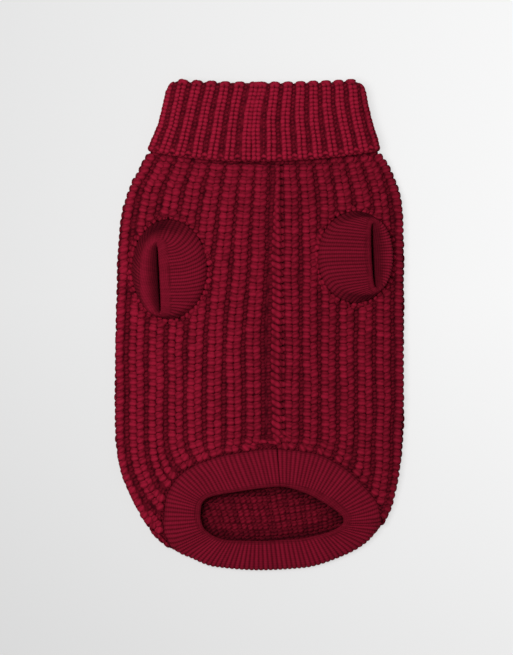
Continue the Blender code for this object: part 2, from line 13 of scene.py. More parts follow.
import bmesh
import bpy
import numpy as np
from mathutils import Matrix


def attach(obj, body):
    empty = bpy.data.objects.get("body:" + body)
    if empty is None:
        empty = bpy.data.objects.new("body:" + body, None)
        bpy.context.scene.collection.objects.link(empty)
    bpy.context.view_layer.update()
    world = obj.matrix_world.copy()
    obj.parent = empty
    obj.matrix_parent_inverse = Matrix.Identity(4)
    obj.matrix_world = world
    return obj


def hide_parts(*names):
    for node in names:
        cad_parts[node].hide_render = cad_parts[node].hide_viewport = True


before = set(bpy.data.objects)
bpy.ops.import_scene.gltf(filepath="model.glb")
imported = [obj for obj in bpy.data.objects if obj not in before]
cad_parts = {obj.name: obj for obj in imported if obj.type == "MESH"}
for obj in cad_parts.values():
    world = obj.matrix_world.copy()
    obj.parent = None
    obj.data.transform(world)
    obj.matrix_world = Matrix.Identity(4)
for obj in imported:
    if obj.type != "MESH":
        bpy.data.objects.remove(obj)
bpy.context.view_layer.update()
MM = 0.001
QUARTER = math.pi / 2
chance = np.random.default_rng(7)

# %% [markdown]
# ## Measures of the sweater
#
# A knitter works from a chart: so many millimetres wide at each height, so many ribs from
# the seam to the fold. The same tables that shape the solids are used here and are read
# at closer steps, so every stitch sits on the form that the part really has. They are in
# millimetres. A table is read with a cubic that never swings past its rows.

# %% The body's chart
SEAM_GAP = 0.3
BODY_OUTLINE = {
    "y": (131, 127.5, 125, 121.5, 117, 110, 102, 93.5, 76, 50, 20, -20, -54, -80, -98, -115,
          -132, -141, -150, -161),
    "left": (-75.0, -75.8, -77.8, -82.0, -85.2, -88.8, -93.6, -96.8, -101.0, -103.0, -104.0,
             -104.9, -105.0, -104.8, -102.6, -97.5, -89.0, -83.9, -77.9, -66.0),
    "right": (81.6, 82.2, 84.0, 88.6, 92.4, 96.4, 99.6, 102.4, 104.6, 104.8, 104.9, 104.9,
              105.0, 104.2, 102.6, 99.7, 94.8, 90.8, 85.2, 74.0),
}
BODY_ROWS = ("level", "lift", "back_wall", "gap", "crown", "front_wall", "rib", "fold",
             "seam_x", "pull")
BODY_SECTIONS = (
    (131, 3.5, 3.0, 1.2, 0.0, 2.4, 0.4, 3.3, 15.4, 0.07),
    (127, 3.5, 3.0, 1.2, 0.2, 2.4, 0.5, 3.3, 15.5, 0.07),
    (122, 3.1, 3.1, 1.3, 0.4, 2.4, 0.8, 3.4, 15.6, 0.07),
    (115, 0.6, 3.5, 1.5, 0.9, 2.4, 1.8, 3.7, 15.8, 0.07),
    (110, 0.0, 3.7, 1.6, 1.2, 2.4, 2.4, 3.9, 15.9, 0.07),
    (95, 0.0, 3.8, 1.6, 1.5, 2.4, 2.4, 4.0, 16.1, 0.07),
    (54, 0.0, 3.8, 1.6, 1.5, 2.4, 2.4, 4.0, 16.4, 0.05),
    (-25, 0.0, 3.8, 1.6, 1.5, 2.4, 2.4, 4.0, 16.9, 0.0),
    (-80, 0.0, 3.8, 1.6, 1.4, 2.4, 2.4, 4.2, 17.0, 0.0),
    (-120, 0.0, 3.4, 3.2, 0.8, 2.4, 2.2, 6.0, 18.0, 0.0),
    (-160, 0.0, 2.6, 4.9, 0.0, 2.4, 1.6, 8.5, 20.8, 0.0),
)
NECK_END = 131.0
HEM_START = -80.0
LEFT_END = -160.0
RIGHT_END = -143.0
HEM_ARCH = ((-66, -160), (-70.8, -148), (-69.5, -128), (-60, -109), (-40, -97), (-16, -90.8),
            (11, -88), (39, -91), (62, -102), (80, -119), (89, -133), (90, -143))
HEM_UNDER = ((-66, -160), (-54, -162), (-38, -165.8), (-20, -168.2), (5, -169.3),
             (35, -166.8), (58, -160.5), (76, -152), (90, -143))
HEM_SPREAD = (
    (0, 0.03, 0.106, 0.169, 0.243, 0.313, 0.382, 0.453, 0.526, 0.6, 0.663, 0.724, 0.784, 0.845,
     0.911, 0.955, 1),
    (0, 0.085, 0.173, 0.252, 0.315, 0.362, 0.407, 0.463, 0.531, 0.593, 0.645, 0.695, 0.753,
     0.818, 0.9, 0.953, 1),
)
RIBS = {1: 6.6, -1: 8.6}  # from the belly seam to the middle of the right and the left fold
BACK_RIBS = 8  # from a fold to the middle of the back
ARMHOLES = {"left": (-93.2, -37.3, 3.6, 77.6), "right": (41.7, 97.0, 15.2, 83.4)}
ARMHOLE_FLOOR = 4.6
print("chest round", round(2 * (104.9 + 104.9)), "mm")

# %% Reading a chart
def cubic(t, start, leaving, end, arriving):
    """A point on a cubic with a given way of leaving its start and reaching its end."""
    return ((1 + 2 * t) * (1 - t) ** 2 * start + t * (1 - t) ** 2 * leaving
            + t * t * (3 - 2 * t) * end + t * t * (t - 1) * arriving)


def smooth(rows, values, at):
    """A cubic through a table's rows that never swings past them."""
    order = np.argsort(rows)
    x = np.asarray(rows, float)[order]
    y = np.asarray(values, float)[order]
    rise = np.diff(y) / np.diff(x)
    slope = np.zeros(len(x))
    alike = rise[:-1] * rise[1:] > 0
    both = np.where(alike, rise[:-1] + rise[1:], 1.0)
    slope[1:-1] = np.where(alike, 2 * rise[:-1] * rise[1:] / both, 0.0)
    slope[0], slope[-1] = rise[0], rise[-1]
    k = np.clip(np.searchsorted(x, at) - 1, 0, len(x) - 2)
    step = x[k + 1] - x[k]
    return cubic((at - x[k]) / step, y[k], step * slope[k], y[k + 1], step * slope[k + 1])


def column(names, table, name, at):
    """One named column of a table, read at any value of its first column."""
    values = np.array(table, float)
    return smooth(values[:, 0], values[:, names.index(name)], at)


def together(*parts):
    """Numbers or arrays side by side, as the coordinates of points."""
    return np.stack(np.broadcast_arrays(*parts), axis=-1)


def run_length(path):
    """How far along a path each of its points is."""
    steps = np.linalg.norm(np.diff(path, axis=0), axis=1)
    return np.concatenate([[0], np.cumsum(steps)])


def read_at(at, length, values):
    """Each column of values, read between the points of a path."""
    return together(*(np.interp(at, length, one) for one in values.T))


def along(points, share):
    """Plan points at a share of the length of a smooth curve through the points."""
    points = np.array(points, float)
    chord = run_length(points)
    fine = np.linspace(0, chord[-1], 400)
    path = np.column_stack([smooth(chord, points[:, k], fine) for k in (0, 1)])
    length = run_length(path)
    return read_at(np.asarray(share) * length[-1], length, path)


def ease(t):
    """A smooth step from 0 to 1."""
    t = np.clip(t, 0, 1)
    return t * t * (3 - 2 * t)


def rib_shape(phase, roundness=0.6):
    """Height of a rib, from 0 in a valley at whole numbers to 1 on its crest."""
    return np.abs(np.sin(math.pi * phase)) ** roundness


def unit(vectors):
    """Vectors made one long."""
    return vectors / np.linalg.norm(vectors, axis=-1, keepdims=True)


def bisector(points):
    """The direction along a row of points at each of them, midway between its two sides."""
    steps = unit(np.diff(points, axis=0))
    return np.concatenate([steps[:1], steps[:-1] + steps[1:], steps[-1:]])


def normals(surface, straight=None):
    """Outward normals of a grid that runs round a tube first, and then along it."""
    around = bisector(surface)
    down = np.swapaxes(bisector(np.swapaxes(surface, 0, 1)), 0, 1)
    if straight is not None:
        down[:, straight] = (0, -1, 0)
    return unit(np.cross(down, around))


# %% [markdown]
# ## Points round a flattened tube
#
# A flattened tube is walked from the belly seam to the right fold, across the back to the
# left fold, and home to the seam. Counting in ribs keeps each column of stitches on its
# rib, whatever the width is at that height.

# %% Walking round
def walk(ribs, back_ribs, step):
    """Points round a flattened tube at even steps, counted in ribs from the seam.

    Side is +1 right and -1 left, face +1 belly and -1 back, and reach is the share of the
    way from the fold to the seam or to the back's middle.
    """
    halves = []
    for side in (1, -1):
        count = np.arange(0, ribs[side] + back_ribs - 0.35 * step, step)
        if side == 1:
            count = np.append(count, ribs[side] + back_ribs)
        belly = count < ribs[side]
        reach = np.where(belly, 1 - count / ribs[side], (count - ribs[side]) / back_ribs)
        halves.append((side * np.ones(len(count)), np.where(belly, 1, -1), reach, count))
    right, left = halves
    return {name: np.concatenate([right[k], left[k][::-1]])
            for k, name in enumerate(("side", "face", "reach", "ribs"))}


def outline(chart, name, level):
    """One side of an outline at a level."""
    return smooth(chart["y"], chart[name], level)


def body_folds(level):
    """Plan positions of the left and the right fold; the right one ends higher up."""
    below = np.minimum(level - HEM_START, 0) / (LEFT_END - HEM_START)
    right_level = level + below * (RIGHT_END - LEFT_END)
    return (together(outline(BODY_OUTLINE, "left", level), level),
            together(outline(BODY_OUTLINE, "right", right_level), right_level))


def bent(start, end, t):
    """A point on a curve that leaves its start straight down the panel."""
    reach = np.linalg.norm(end - start, axis=-1, keepdims=True)
    leaving = reach * np.array([0.0, -1.0])
    return start + t * (1 - t) ** 2 * leaving + t * t * (2 - t) * (end - start)


def body_plan(level, across, face):
    """Where a point at a share of the width lies, seen from above."""
    left, right = body_folds(level)
    across = across[..., None]
    if level >= HEM_START:
        return left + across * (right - left)
    down = (level - HEM_START) / (LEFT_END - HEM_START)
    top_left, top_right = body_folds(HEM_START)
    top = top_left + across * (top_right - top_left)
    share = np.clip(across[..., 0], 0, 1)
    arch = along(HEM_ARCH, smooth(*HEM_SPREAD, share))
    seam = np.where(face[..., None] > 0, arch, along(HEM_UNDER, share))
    left_bulge = left - bent(top_left, np.array(HEM_ARCH[0], float), down)
    right_bulge = right - bent(top_right, np.array(HEM_ARCH[-1], float), down)
    return bent(top, seam, down) + (1 - across) ** 4 * left_bulge + across ** 4 * right_bulge


def body_row(level, samples):
    """The panel's unribbed outer points at one level, with its rib height and wall there."""
    size = {name: column(BODY_ROWS, BODY_SECTIONS, name, level) for name in BODY_ROWS[1:]}
    side, face = samples["side"], samples["face"]
    (left_x, _), (right_x, _) = body_folds(level)
    edge = np.where(side > 0, right_x, left_x) - side * size["rib"]
    seam = size["seam_x"] + side * SEAM_GAP / 2
    middle = np.where(face > 0, seam, (left_x + right_x) / 2)
    low = size["lift"]
    high = low + size["back_wall"] + size["gap"] + size["front_wall"]
    radius = (high - low) / 2
    span = np.abs(edge - middle)
    round_length = QUARTER * (radius + size["fold"]) / 2
    reach = samples["reach"]
    crowded = np.where((side < 0) & (face > 0), size["pull"] * 4 * reach * (1 - reach), 0)
    run = (reach + crowded) * (span - size["fold"] + round_length)
    turn = np.minimum(run / round_length, 1) * QUARTER
    flat = np.maximum(run - round_length, 0) / (span - size["fold"])
    crown = np.where(face > 0, size["crown"] * (1 - (1 - flat) ** 2), 0)
    x = edge - side * (size["fold"] * (1 - np.cos(turn)) + flat * (span - size["fold"]))
    z = (low + high) / 2 + face * radius * np.sin(turn) + crown
    plan = body_plan(level, (x - left_x) / (right_x - left_x), face)
    fade = np.where(face > 0, 1, np.cos(turn) ** 2)
    flat_wall = np.where(face > 0, size["front_wall"], size["back_wall"])
    side_wall = (size["front_wall"] + size["back_wall"]) / 2
    thick = flat_wall + (side_wall - flat_wall) * np.cos(turn)
    return np.column_stack([plan, z]), size["rib"] * fade, thick, fade


def body_surface(levels, samples):
    """The unribbed outside at many levels: points, normals, rib height, wall and fade."""
    rows = [body_row(level, samples) for level in levels]
    surface, rib, thick, fade = (np.stack([row[k] for row in rows], axis=1) for k in range(4))
    return surface, normals(surface, np.array(levels) >= HEM_START), rib, thick, fade


body_walk = walk(RIBS, BACK_RIBS, 1 / 8)
print("points round the body", len(body_walk["ribs"]))

# %% [markdown]
# ## The yarn
#
# The real yarn is a soft dyed cotton and acrylic blend, spun from three plies. It is
# matte, it lights up a little at grazing angles where loose fibres stand off it, and it
# looks almost black down between two stitches, where the light has to pass through red
# fibre to come out again. The material mixes a deep and a bright colour by a value kept
# on each point, "shade", and by a fine mottle of uneven dye. The shade value is painted
# shade, with some random tone besides: it darkens the yarn where shade falls, down between
# stitches, on their undersides, in the valleys and by rims, edges and slits. The plies
# twist round each stitch on the stitch's own UV map.

# %% Colours and nodes
def linear(hex_code):
    """An sRGB hex colour as linear red, green, blue and alpha."""
    parts = [int(hex_code[k:k + 2], 16) / 255 for k in (1, 3, 5)]
    return (*[c / 12.92 if c <= 0.04045 else ((c + 0.055) / 1.055) ** 2.4 for c in parts], 1)


def add(tree, kind, settings=None, **links):
    """Add a node, set its values and link its inputs; an input's name may be a number."""
    node = tree.nodes.new(kind)
    for key, value in (settings or {}).items():
        if isinstance(key, int) or key in node.inputs:
            node.inputs[key].default_value = value
        else:
            setattr(node, key, value)
    for key, socket in links.items():
        place = int(key[1:]) if key[0] == "_" else key.replace("_", " ")
        tree.links.new(socket, node.inputs[place])
    return node


def matte(name, values):
    """A new material, its nodes, its shader with some values set, and its coordinates."""
    material = bpy.data.materials.new(name)
    material.use_nodes = True
    tree = material.node_tree
    shader = tree.nodes["Principled BSDF"]
    for key, value in values.items():
        shader.inputs[key].default_value = value
    return material, tree, shader, add(tree, "ShaderNodeTexCoord")


def speckle(tree, coords, scale, detail):
    """Noise in patches of about a metre divided by its scale."""
    return add(tree, "ShaderNodeTexNoise", {"Scale": scale, "Detail": detail},
               Vector=coords.outputs["Object"]).outputs["Fac"]


def ranged(tree, value, low, high, start=0.0, end=1.0):
    """A value that goes from low to high while another goes from start to end."""
    ends = {"From Min": start, "From Max": end, "To Min": low, "To Max": high}
    return add(tree, "ShaderNodeMapRange", ends, Value=value).outputs["Result"]


def maths(tree, operation, first, second):
    """A sum or a product of two values."""
    return add(tree, "ShaderNodeMath", {"operation": operation},
               _0=first, _1=second).outputs["Value"]


def colours(tree, value, *hex_codes):
    """A colour for a value, in even steps from the first colour at 0 to the last at 1."""
    node = add(tree, "ShaderNodeValToRGB", Fac=value)
    steps = node.color_ramp.elements
    for k in range(1, len(hex_codes) - 1):
        steps.new(k / (len(hex_codes) - 1))
    for step, hex_code in zip(steps, hex_codes):
        step.color = linear(hex_code)
    return node.outputs["Color"]


# %% Dyed yarn
def dyed_yarn(name, deep, middle, bright, plies, twist, ply_depth_mm, groove_shade):
    """Three-ply cotton and acrylic yarn, piece-dyed, with a soft matte surface."""
    material, tree, shader, coords = matte(name, {
        "Roughness": 0.92, "Specular IOR Level": 0.06, "Sheen Weight": 0.08,
        "Sheen Roughness": 0.4, "Sheen Tint": linear("#d83a50")})
    shade = add(tree, "ShaderNodeAttribute", {"attribute_name": "shade"}).outputs["Fac"]
    # Uneven dye, in patches of about 2 mm, and fibres drawn 0.4 mm wide so that they show.
    mottle = speckle(tree, coords, 480.0, 3.0)
    fibre = speckle(tree, coords, 2500.0, 2.0)
    uneven = ranged(tree, mottle, -0.16, 0.16)
    # The plies are slanting ridges on the piece's own UV map; painted shade darkens the grooves
    # between them.
    turned = add(tree, "ShaderNodeMapping", {"Rotation": (0, 0, twist)},
                 Vector=coords.outputs["UV"])
    ply = add(tree, "ShaderNodeTexWave", {"Scale": plies, "Distortion": 0.8,
                                          "wave_profile": "SIN", "Detail": 1.0},
              Vector=turned.outputs["Vector"]).outputs["Fac"]
    ply_groove_shade = ranged(tree, ply, -groove_shade, 0.4 * groove_shade)
    tone = maths(tree, "ADD", maths(tree, "ADD", shade, ply_groove_shade), uneven)
    tree.links.new(colours(tree, tone, deep, middle, bright), shader.inputs["Base Color"])
    grain = add(tree, "ShaderNodeMath", {"operation": "MULTIPLY_ADD", 1: 0.35},
                _0=fibre, _2=ply)
    bump = add(tree, "ShaderNodeBump", {"Strength": 0.6, "Distance": ply_depth_mm * MM},
               Height=grain.outputs["Value"])
    tree.links.new(bump.outputs["Normal"], shader.inputs["Normal"])
    return material


chunky_yarn = dyed_yarn("chunky_cotton_yarn", "#2a0007", "#60091a", "#8a122b",
                        0.9, 1.25, 0.35, 0.22)
collar_yarn = dyed_yarn("collar_cotton_yarn", "#2c0008", "#680b1d", "#93152f",
                        0.7, 1.2, 0.25, 0.18)
fine_yarn = dyed_yarn("fine_cotton_yarn", "#2a0007", "#580818", "#7b1027",
                      0.8, 1.57, 0.15, 0.12)
print("materials", [m.name for m in bpy.data.materials if "yarn" in m.name])

# %% [markdown]
# ## A wall of cloth
#
# Knitted cloth this thick has an outside, an inside and a rim. It could be made with a
# Solidify modifier, but that gives one thickness everywhere and plain sides. Here a flat
# grid is laid on the outside, extruded once to make the inside and the rim, and both are
# then put where the chart says.

# %% Making a wall
def mesh_data(name, mesh):
    """A worked mesh as the data of an object."""
    data = bpy.data.meshes.new(name)
    mesh.to_mesh(data)
    mesh.free()
    return data


def new_piece(name, data, material):
    """An object with one material."""
    data.materials.append(material)
    piece = bpy.data.objects.new(name, data)
    bpy.context.scene.collection.objects.link(piece)
    print(name, sum(len(p.vertices) - 2 for p in data.polygons), "triangles")
    return piece


def closed_wall(name, outer, inner, uv_at, shade, inner_shade, material, joined=False):
    """A closed wall from two grids of points; joined merges the two ends of a tube."""
    n, m = outer.shape[:2]
    mesh = bmesh.new()
    uv = mesh.loops.layers.uv.new("UVMap")
    tone = mesh.verts.layers.float.new("shade")
    number = mesh.verts.layers.int.new("number")
    bmesh.ops.create_grid(mesh, x_segments=n - 1, y_segments=m - 1, size=1)
    reach = max(v.co.x for v in mesh.verts)
    outside = (outer * MM).reshape(-1, 3).tolist()
    inside = (inner * MM).reshape(-1, 3).tolist()
    tones = np.broadcast_to(shade, (n, m)).reshape(-1).tolist()
    table = uv_at.reshape(-1, 2).tolist()
    for v in mesh.verts:
        i = round((v.co.x / reach + 1) / 2 * (n - 1))
        j = round((v.co.y / reach + 1) / 2 * (m - 1))
        v[number] = i * m + j
        v.co = outside[v[number]]
        v[tone] = tones[v[number]]
    copy = bmesh.ops.extrude_face_region(mesh, geom=mesh.faces[:], use_keep_orig=True)
    for v in copy["geom"]:
        if isinstance(v, bmesh.types.BMVert):
            v.co = inside[v[number]]
            v[tone] = inner_shade
    for face in mesh.faces:
        for loop in face.loops:
            loop[uv].uv = table[loop.vert[number]]
    if joined:
        ends = [f for f in mesh.faces if {v[number] // m for v in f.verts} in ({0}, {n - 1})]
        bmesh.ops.delete(mesh, geom=ends, context="FACES_ONLY")
        bmesh.ops.remove_doubles(mesh, verts=mesh.verts, dist=1e-6)
    bmesh.ops.recalc_face_normals(mesh, faces=mesh.faces)
    data = mesh_data(name, mesh)
    data.shade_smooth()
    return new_piece(name, data, material)


def dress(piece, node=None):
    """The piece rides with the sweater, and may stand for a CAD node, which is hidden."""
    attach(piece, "root")
    if node:
        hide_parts(node)


# %% [markdown]
# ## The body panel
#
# The panel is a tube of ribs that lies flat. Under the stitches it is only a ground of
# yarn, made dark with painted shade. So its ribs are made about half as high as the
# solid's, and the stitches bring them to full height. Where the sweater rests on its back
# the ribs are pressed flat: they are formed inward there, so that no stitch reaches below
# the surface it lies on.

# %% The ground of the body
GROUND_SHARE = 0.5  # how much of the rib's height is ground; the rest is stitches
REST_DEPTH = 0.75  # how far the pressed underside's crests are inside the flat face
REST_VALLEY = 0.8  # how much further in its valleys are
GROUND_SHADE = 0.26  # painted shade: how dark the ground is in the valleys
UV_ALONG = 40.0  # millimetres along a rib for each turn of the yarn's pattern


def body_ground(levels, samples):
    """The ground under the stitches, its normals, rib height, wall and underside share."""
    surface, normal, rib, thick, fade = body_surface(levels, samples)
    shape = rib_shape(samples["ribs"])[:, None]
    rest = np.clip(1 - fade, 0, 1) * (samples["face"][:, None] < 0)
    height = GROUND_SHARE * rib * shape - rest * (REST_DEPTH + REST_VALLEY * (1 - shape))
    return surface + normal * height[..., None], surface, normal, rib, thick, rest


body_levels = np.concatenate([np.linspace(NECK_END, 112, 12), np.linspace(110, -78, 86),
                              np.linspace(-80, -160, 38)])
ground, surface, normal, _, thick, _ = body_ground(body_levels, body_walk)
# Painted shade: the ground is dark, a little lighter on the crests.
body = closed_wall("body_panel", ground, surface - normal * thick[..., None],
                   together(body_walk["ribs"][:, None] / 3, -body_levels / UV_ALONG),
                   GROUND_SHADE + 0.06 * rib_shape(body_walk["ribs"])[:, None], 0.35,
                   chunky_yarn)

# %% [markdown]
# ## The armholes
#
# Each armhole goes through the belly layer alone. An oval column cuts it, as a pattern
# cutter would punch it, and stops between the two layers.

# %% Cutting the armholes
PUNCH = 30.0  # height of the column that cuts a hole


def cut_oval(piece, name, left, right, low, high):
    """Cut an oval column out of a piece, from the armholes' floor upwards."""
    mesh = bmesh.new()
    bmesh.ops.create_cone(mesh, cap_ends=True, segments=96, radius1=0.5, radius2=0.5,
                          depth=PUNCH * MM)
    bmesh.ops.scale(mesh, verts=mesh.verts,
                    vec=((right - left) * MM, (high - low) * MM, 1))
    bmesh.ops.translate(mesh, verts=mesh.verts,
                        vec=((left + right) / 2 * MM, (low + high) / 2 * MM,
                             (ARMHOLE_FLOOR + PUNCH / 2) * MM))
    punch = bpy.data.objects.new(name, mesh_data(name, mesh))
    bpy.context.scene.collection.objects.link(punch)
    cut = piece.modifiers.new(name, "BOOLEAN")
    cut.operation = "DIFFERENCE"
    cut.solver = "EXACT"
    cut.object = punch
    bpy.context.view_layer.update()
    made = bpy.data.meshes.new_from_object(
        piece.evaluated_get(bpy.context.evaluated_depsgraph_get()))
    piece.modifiers.clear()
    old = piece.data
    piece.data = made
    bpy.data.meshes.remove(old)
    bpy.data.objects.remove(punch)


for name, oval in ARMHOLES.items():
    cut_oval(body, "armhole_" + name, *oval)
body.data.name = "body_panel"
dress(body, "body")
print("body faces after the armholes", len(body.data.polygons))

# %% [markdown]
# ## Stitches
#
# In a knitted rib every stitch shows as a V of two plump legs, and the V's stack up into
# two columns side by side. Each leg is a short thick length of yarn that comes out from
# under the stitch before it and goes in under the next, so it looks like a soft squared
# bead. One leg is made with a few dozen faces, and copies of it are joined into one mesh
# by arrays, each with its own place, lean and size.

# %% One leg of a stitch
PRESSED = 0.05  # nothing reaches below this height over the board
UNDERSIDE_SHADE = 0.25  # painted shade: tone of a stitch's underside, as a share of its top's
CORNER_SHADE = 0.8  # painted shade: how much darker a stitch is where its V closes
FLANK_SHADE = 0.35  # painted shade on its side towards the valley


def stitch_form(around, rows, square, bow=0.0):
    """A plump leg of yarn along Y: its points, its faces' corners and its UV map."""
    mesh = bmesh.new()
    uv = mesh.loops.layers.uv.new("UVMap")
    bmesh.ops.create_uvsphere(mesh, u_segments=around, v_segments=rows, radius=1,
                              calc_uvs=True)
    bmesh.ops.rotate(mesh, verts=mesh.verts, cent=(0, 0, 0),
                     matrix=Matrix.Rotation(QUARTER, 3, "X"))
    for v in mesh.verts:
        size = sum(abs(c) ** square for c in v.co) ** (-1 / square)
        v.co *= size
        v.co.x += bow * (v.co.y ** 2 - 0.4)
    mesh.verts.index_update()
    loops = [loop for face in mesh.faces for loop in face.loops]
    sizes = [len(face.verts) for face in mesh.faces]
    form = {"points": np.array([v.co for v in mesh.verts]),
            "corners": np.array([loop.vert.index for loop in loops]),
            "first": np.cumsum([0] + sizes[:-1]),
            "uv": np.array([tuple(loop[uv].uv) for loop in loops])}
    mesh.free()
    return form


def rotated(one, other, angle):
    """Two ways at right angles, turned together in their own plane."""
    cos, sin = np.cos(angle)[:, None], np.sin(angle)[:, None]
    return cos * one + sin * other, cos * other - sin * one


def fill(items, name, values, kind):
    """Give every item of a mesh its value."""
    items.foreach_set(name, values.astype(kind).ravel())


def join_stitches(name, form, place, down, out, size, lean, roll, shade, material, inner=0.0):
    """Copies of one form joined into one mesh.

    Down is the way along the rib and out the way off the cloth. Lean turns a copy in the
    plane of the cloth and roll turns it about its own length. Sizes are half widths. Inner
    is +1 or -1 where the side at +x or -x faces the middle of a rib. The tone is painted
    shade: darker underneath, in the corners on that side where the V closes, and on the
    far side towards the valley.
    """
    out = unit(out)
    across = unit(np.cross(down, out))
    across, length = rotated(across, np.cross(out, across), lean)
    across, up = rotated(across, out, roll)
    turn = np.stack([across, length, up], axis=1)
    points = place[:, None] + np.einsum("nvk,nkc->nvc", form["points"] * size[:, None], turn)
    points[:, :, 2] = np.maximum(points[:, :, 2], PRESSED)
    each = np.arange(len(place))[:, None]
    corners = form["corners"] + each * len(form["points"])
    firsts = form["first"] + each * len(form["corners"])
    data = bpy.data.meshes.new(name)
    data.vertices.add(points.size // 3)
    data.loops.add(corners.size)
    data.polygons.add(firsts.size)
    fill(data.vertices, "co", points * MM, np.float32)
    fill(data.loops, "vertex_index", corners, np.int32)
    fill(data.polygons, "loop_start", firsts, np.int32)
    data.update(calc_edges=True)
    uv = data.uv_layers.new(name="UVMap")
    fill(uv.data, "uv", np.tile(form["uv"], (len(place), 1)), np.float32)
    x, y, z = form["points"].T
    # Painted shade on each stitch: underside, inner corners and the flank by the valley.
    inward = np.multiply.outer(inner * np.ones(len(place)), x)
    corner = np.clip(inward, 0, 1) * y ** 2
    flank_shade = np.clip(-inward, 0, 1) ** 2
    tone = shade[:, None] * (UNDERSIDE_SHADE + (1 - UNDERSIDE_SHADE) * (0.5 + 0.5 * z))
    tone = tone * (1 - CORNER_SHADE * corner - FLANK_SHADE * flank_shade)
    fill(data.attributes.new("shade", "FLOAT", "POINT").data, "value", tone, np.float32)
    data.shade_smooth()
    return new_piece(name, data, material)


def lay_stitches(name, form, place, down, out, half, lean, tone, uneven, material=chunky_yarn,
                 keep=slice(None), roll=0.0, inner=0.0):
    """Join stitches that differ at random; half is a stitch's half sizes.

    Uneven has the spreads of the size, as a share, of the lean and of the tone.
    """
    count = len(place)
    size = np.array(half) * np.ones((count, 1))
    if uneven[0]:
        size = size * (1 + chance.normal(0, uneven[0], (count, 1)))
    lean = lean + chance.normal(0, uneven[1], count)
    tone = tone + chance.normal(0, uneven[2], count)
    roll = roll * np.ones(count)
    return join_stitches(name, form, place[keep], down[keep], out[keep], size[keep], lean[keep],
                         roll[keep], tone[keep], material, inner)


def jitter(spread, like):
    """Small random moves, one for each point."""
    return chance.normal(0, spread, like.shape)


leg = stitch_form(10, 6, 2.2)
small = stitch_form(6, 4, 2.3)
print("faces in one leg", len(leg["first"]), "and in a small one", len(small["first"]))

# %% [markdown]
# ## Where the stitches go
#
# A knitter's rows are evenly spaced along the rib, not along the ruler, so each column is
# measured along its own path from the neck and gets a stitch every row. Columns that run
# into an armhole stop at its edge and go on below it.

# %% Rows along a column
STITCH_ROW = 5.04  # from row to row
SIDE_NUMBERS = 40  # ribs on the left are numbered from 0 and on the right from here
LEG_PART = 5 / 16  # where the two columns of a rib are, as shares of its width
BODY_PARTS = {"legs": (LEG_PART, 1 - LEG_PART), "slanting": (LEG_PART,), "seam": (0,),
              "thin": (1 - LEG_PART,), "purls": (0, 1), "inside": (3 / 16, 13 / 16),
              "inside_purls": (0.5,)}
stitch_walk = walk(RIBS, BACK_RIBS, 1 / 16)
fine_levels = np.linspace(NECK_END, -160, 260)
_, surface, normal, rib, thick, rest = body_ground(fine_levels, stitch_walk)
fields = np.concatenate([normal, rib[..., None], rest[..., None]], axis=-1)


def near(ribs, target):
    """Whether counted ribs are at a number, but for rounding."""
    return np.abs(ribs - target) < 1e-3


def body_columns(kind):
    """The columns of one kind: their place in the walk and which way they lean."""
    ribs, side = stitch_walk["ribs"], stitch_walk["side"]
    part = np.mod(ribs, 1)
    by_seam = (side < 0) & (ribs < 0.9)
    where = {"legs": ~by_seam, "slanting": by_seam, "thin": by_seam, "purls": ribs > 0.5,
             "seam": (side > 0) & (ribs == 0)}
    lean = {"legs": np.sign(part - 0.5) * side, "slanting": 1, "thin": -1}
    chosen = np.any([near(part, at) for at in BODY_PARTS[kind]], axis=0) & where.get(kind, True)
    return [(i, (lean.get(kind, 0) * np.ones(len(ribs)))[i]) for i in np.flatnonzero(chosen)]


def rows_along(path, more, spacing, start, end):
    """Even steps along a path: the points, the way on, and other values at them."""
    length = run_length(path)
    count = max(round((length[-1] - end - start) / spacing), 1)
    at = np.linspace(start, length[-1] - end, count + 1)
    onward = unit(read_at(at, length, bisector(path)))
    return read_at(at, length, path), onward, read_at(at, length, more)


def gather(samples, columns, spacing, start, end, paths, fields, shift=0.01):
    """All the stitches of some columns; shift gives the columns of one rib one number."""
    found = []
    for i, lean in columns:
        place, down, more = rows_along(paths[i], fields[i], spacing, start, end)
        number = np.floor(samples["ribs"][i] + shift) + SIDE_NUMBERS * (samples["side"][i] > 0)
        extra = np.full((len(place), 3), (lean, samples["face"][i], number))
        found.append(np.column_stack([place, down, more, extra, np.arange(len(place))]))
    found = np.concatenate(found)
    return {"place": found[:, 0:3], "down": found[:, 3:6], "out": found[:, 6:9],
            "more": found[:, 9:-4], "lean": found[:, -4], "face": found[:, -3],
            "number": found[:, -2].astype(int), "row": found[:, -1]}


def body_set(kind, start=2.0, end=2.0, paths=surface, fields=fields):
    """The body's stitches of one kind; more has their rib height and underside share."""
    return gather(stitch_walk, body_columns(kind), STITCH_ROW, start, end, paths, fields)


def picked(s, chosen):
    """Some of a set's stitches."""
    return {name: values[chosen] for name, values in s.items()}


legs = body_set("legs")
print("legs on the whole body", len(legs["row"]))

# %% Sorting out the legs
FREE_FRONT = 119.0  # the collar's free edge at the middle of the belly
FREE_FRONT_RISE = 8.6  # how much higher it is at the folds
OVERLAP = 4.0  # how far stitches go on under the collar's front edge
BACK_TOP = 126.0  # where they stop at the collar behind
ROOM = 9.0  # distance from an armhole that makes no difference any more
RIM_INSIDE = 1.2  # stitches begin this far inside an armhole's edge
RIM_OUTSIDE = 0.6  # added to a half width, the way over which they grow to full size
SMALLEST = 0.4  # smaller ones are left out


def free_edge(x):
    """Where the turned-down collar's front edge lies at X."""
    wide = np.clip(np.abs(x) / 85, 0, 1)
    return FREE_FRONT + FREE_FRONT_RISE * wide ** 2


def oval_size(oval, margin=0.0):
    """An oval's middle and its half sizes."""
    left, right, low, high = oval
    return (np.array([left + right, low + high]) / 2,
            np.array([right - left, high - low]) / 2 + margin)


def oval_distance(points, oval):
    """Roughly how far outside an oval the points are."""
    middle, half = oval_size(oval)
    ratio = np.linalg.norm((points[:, :2] - middle) / half, axis=1)
    return (ratio - 1) * half.mean()


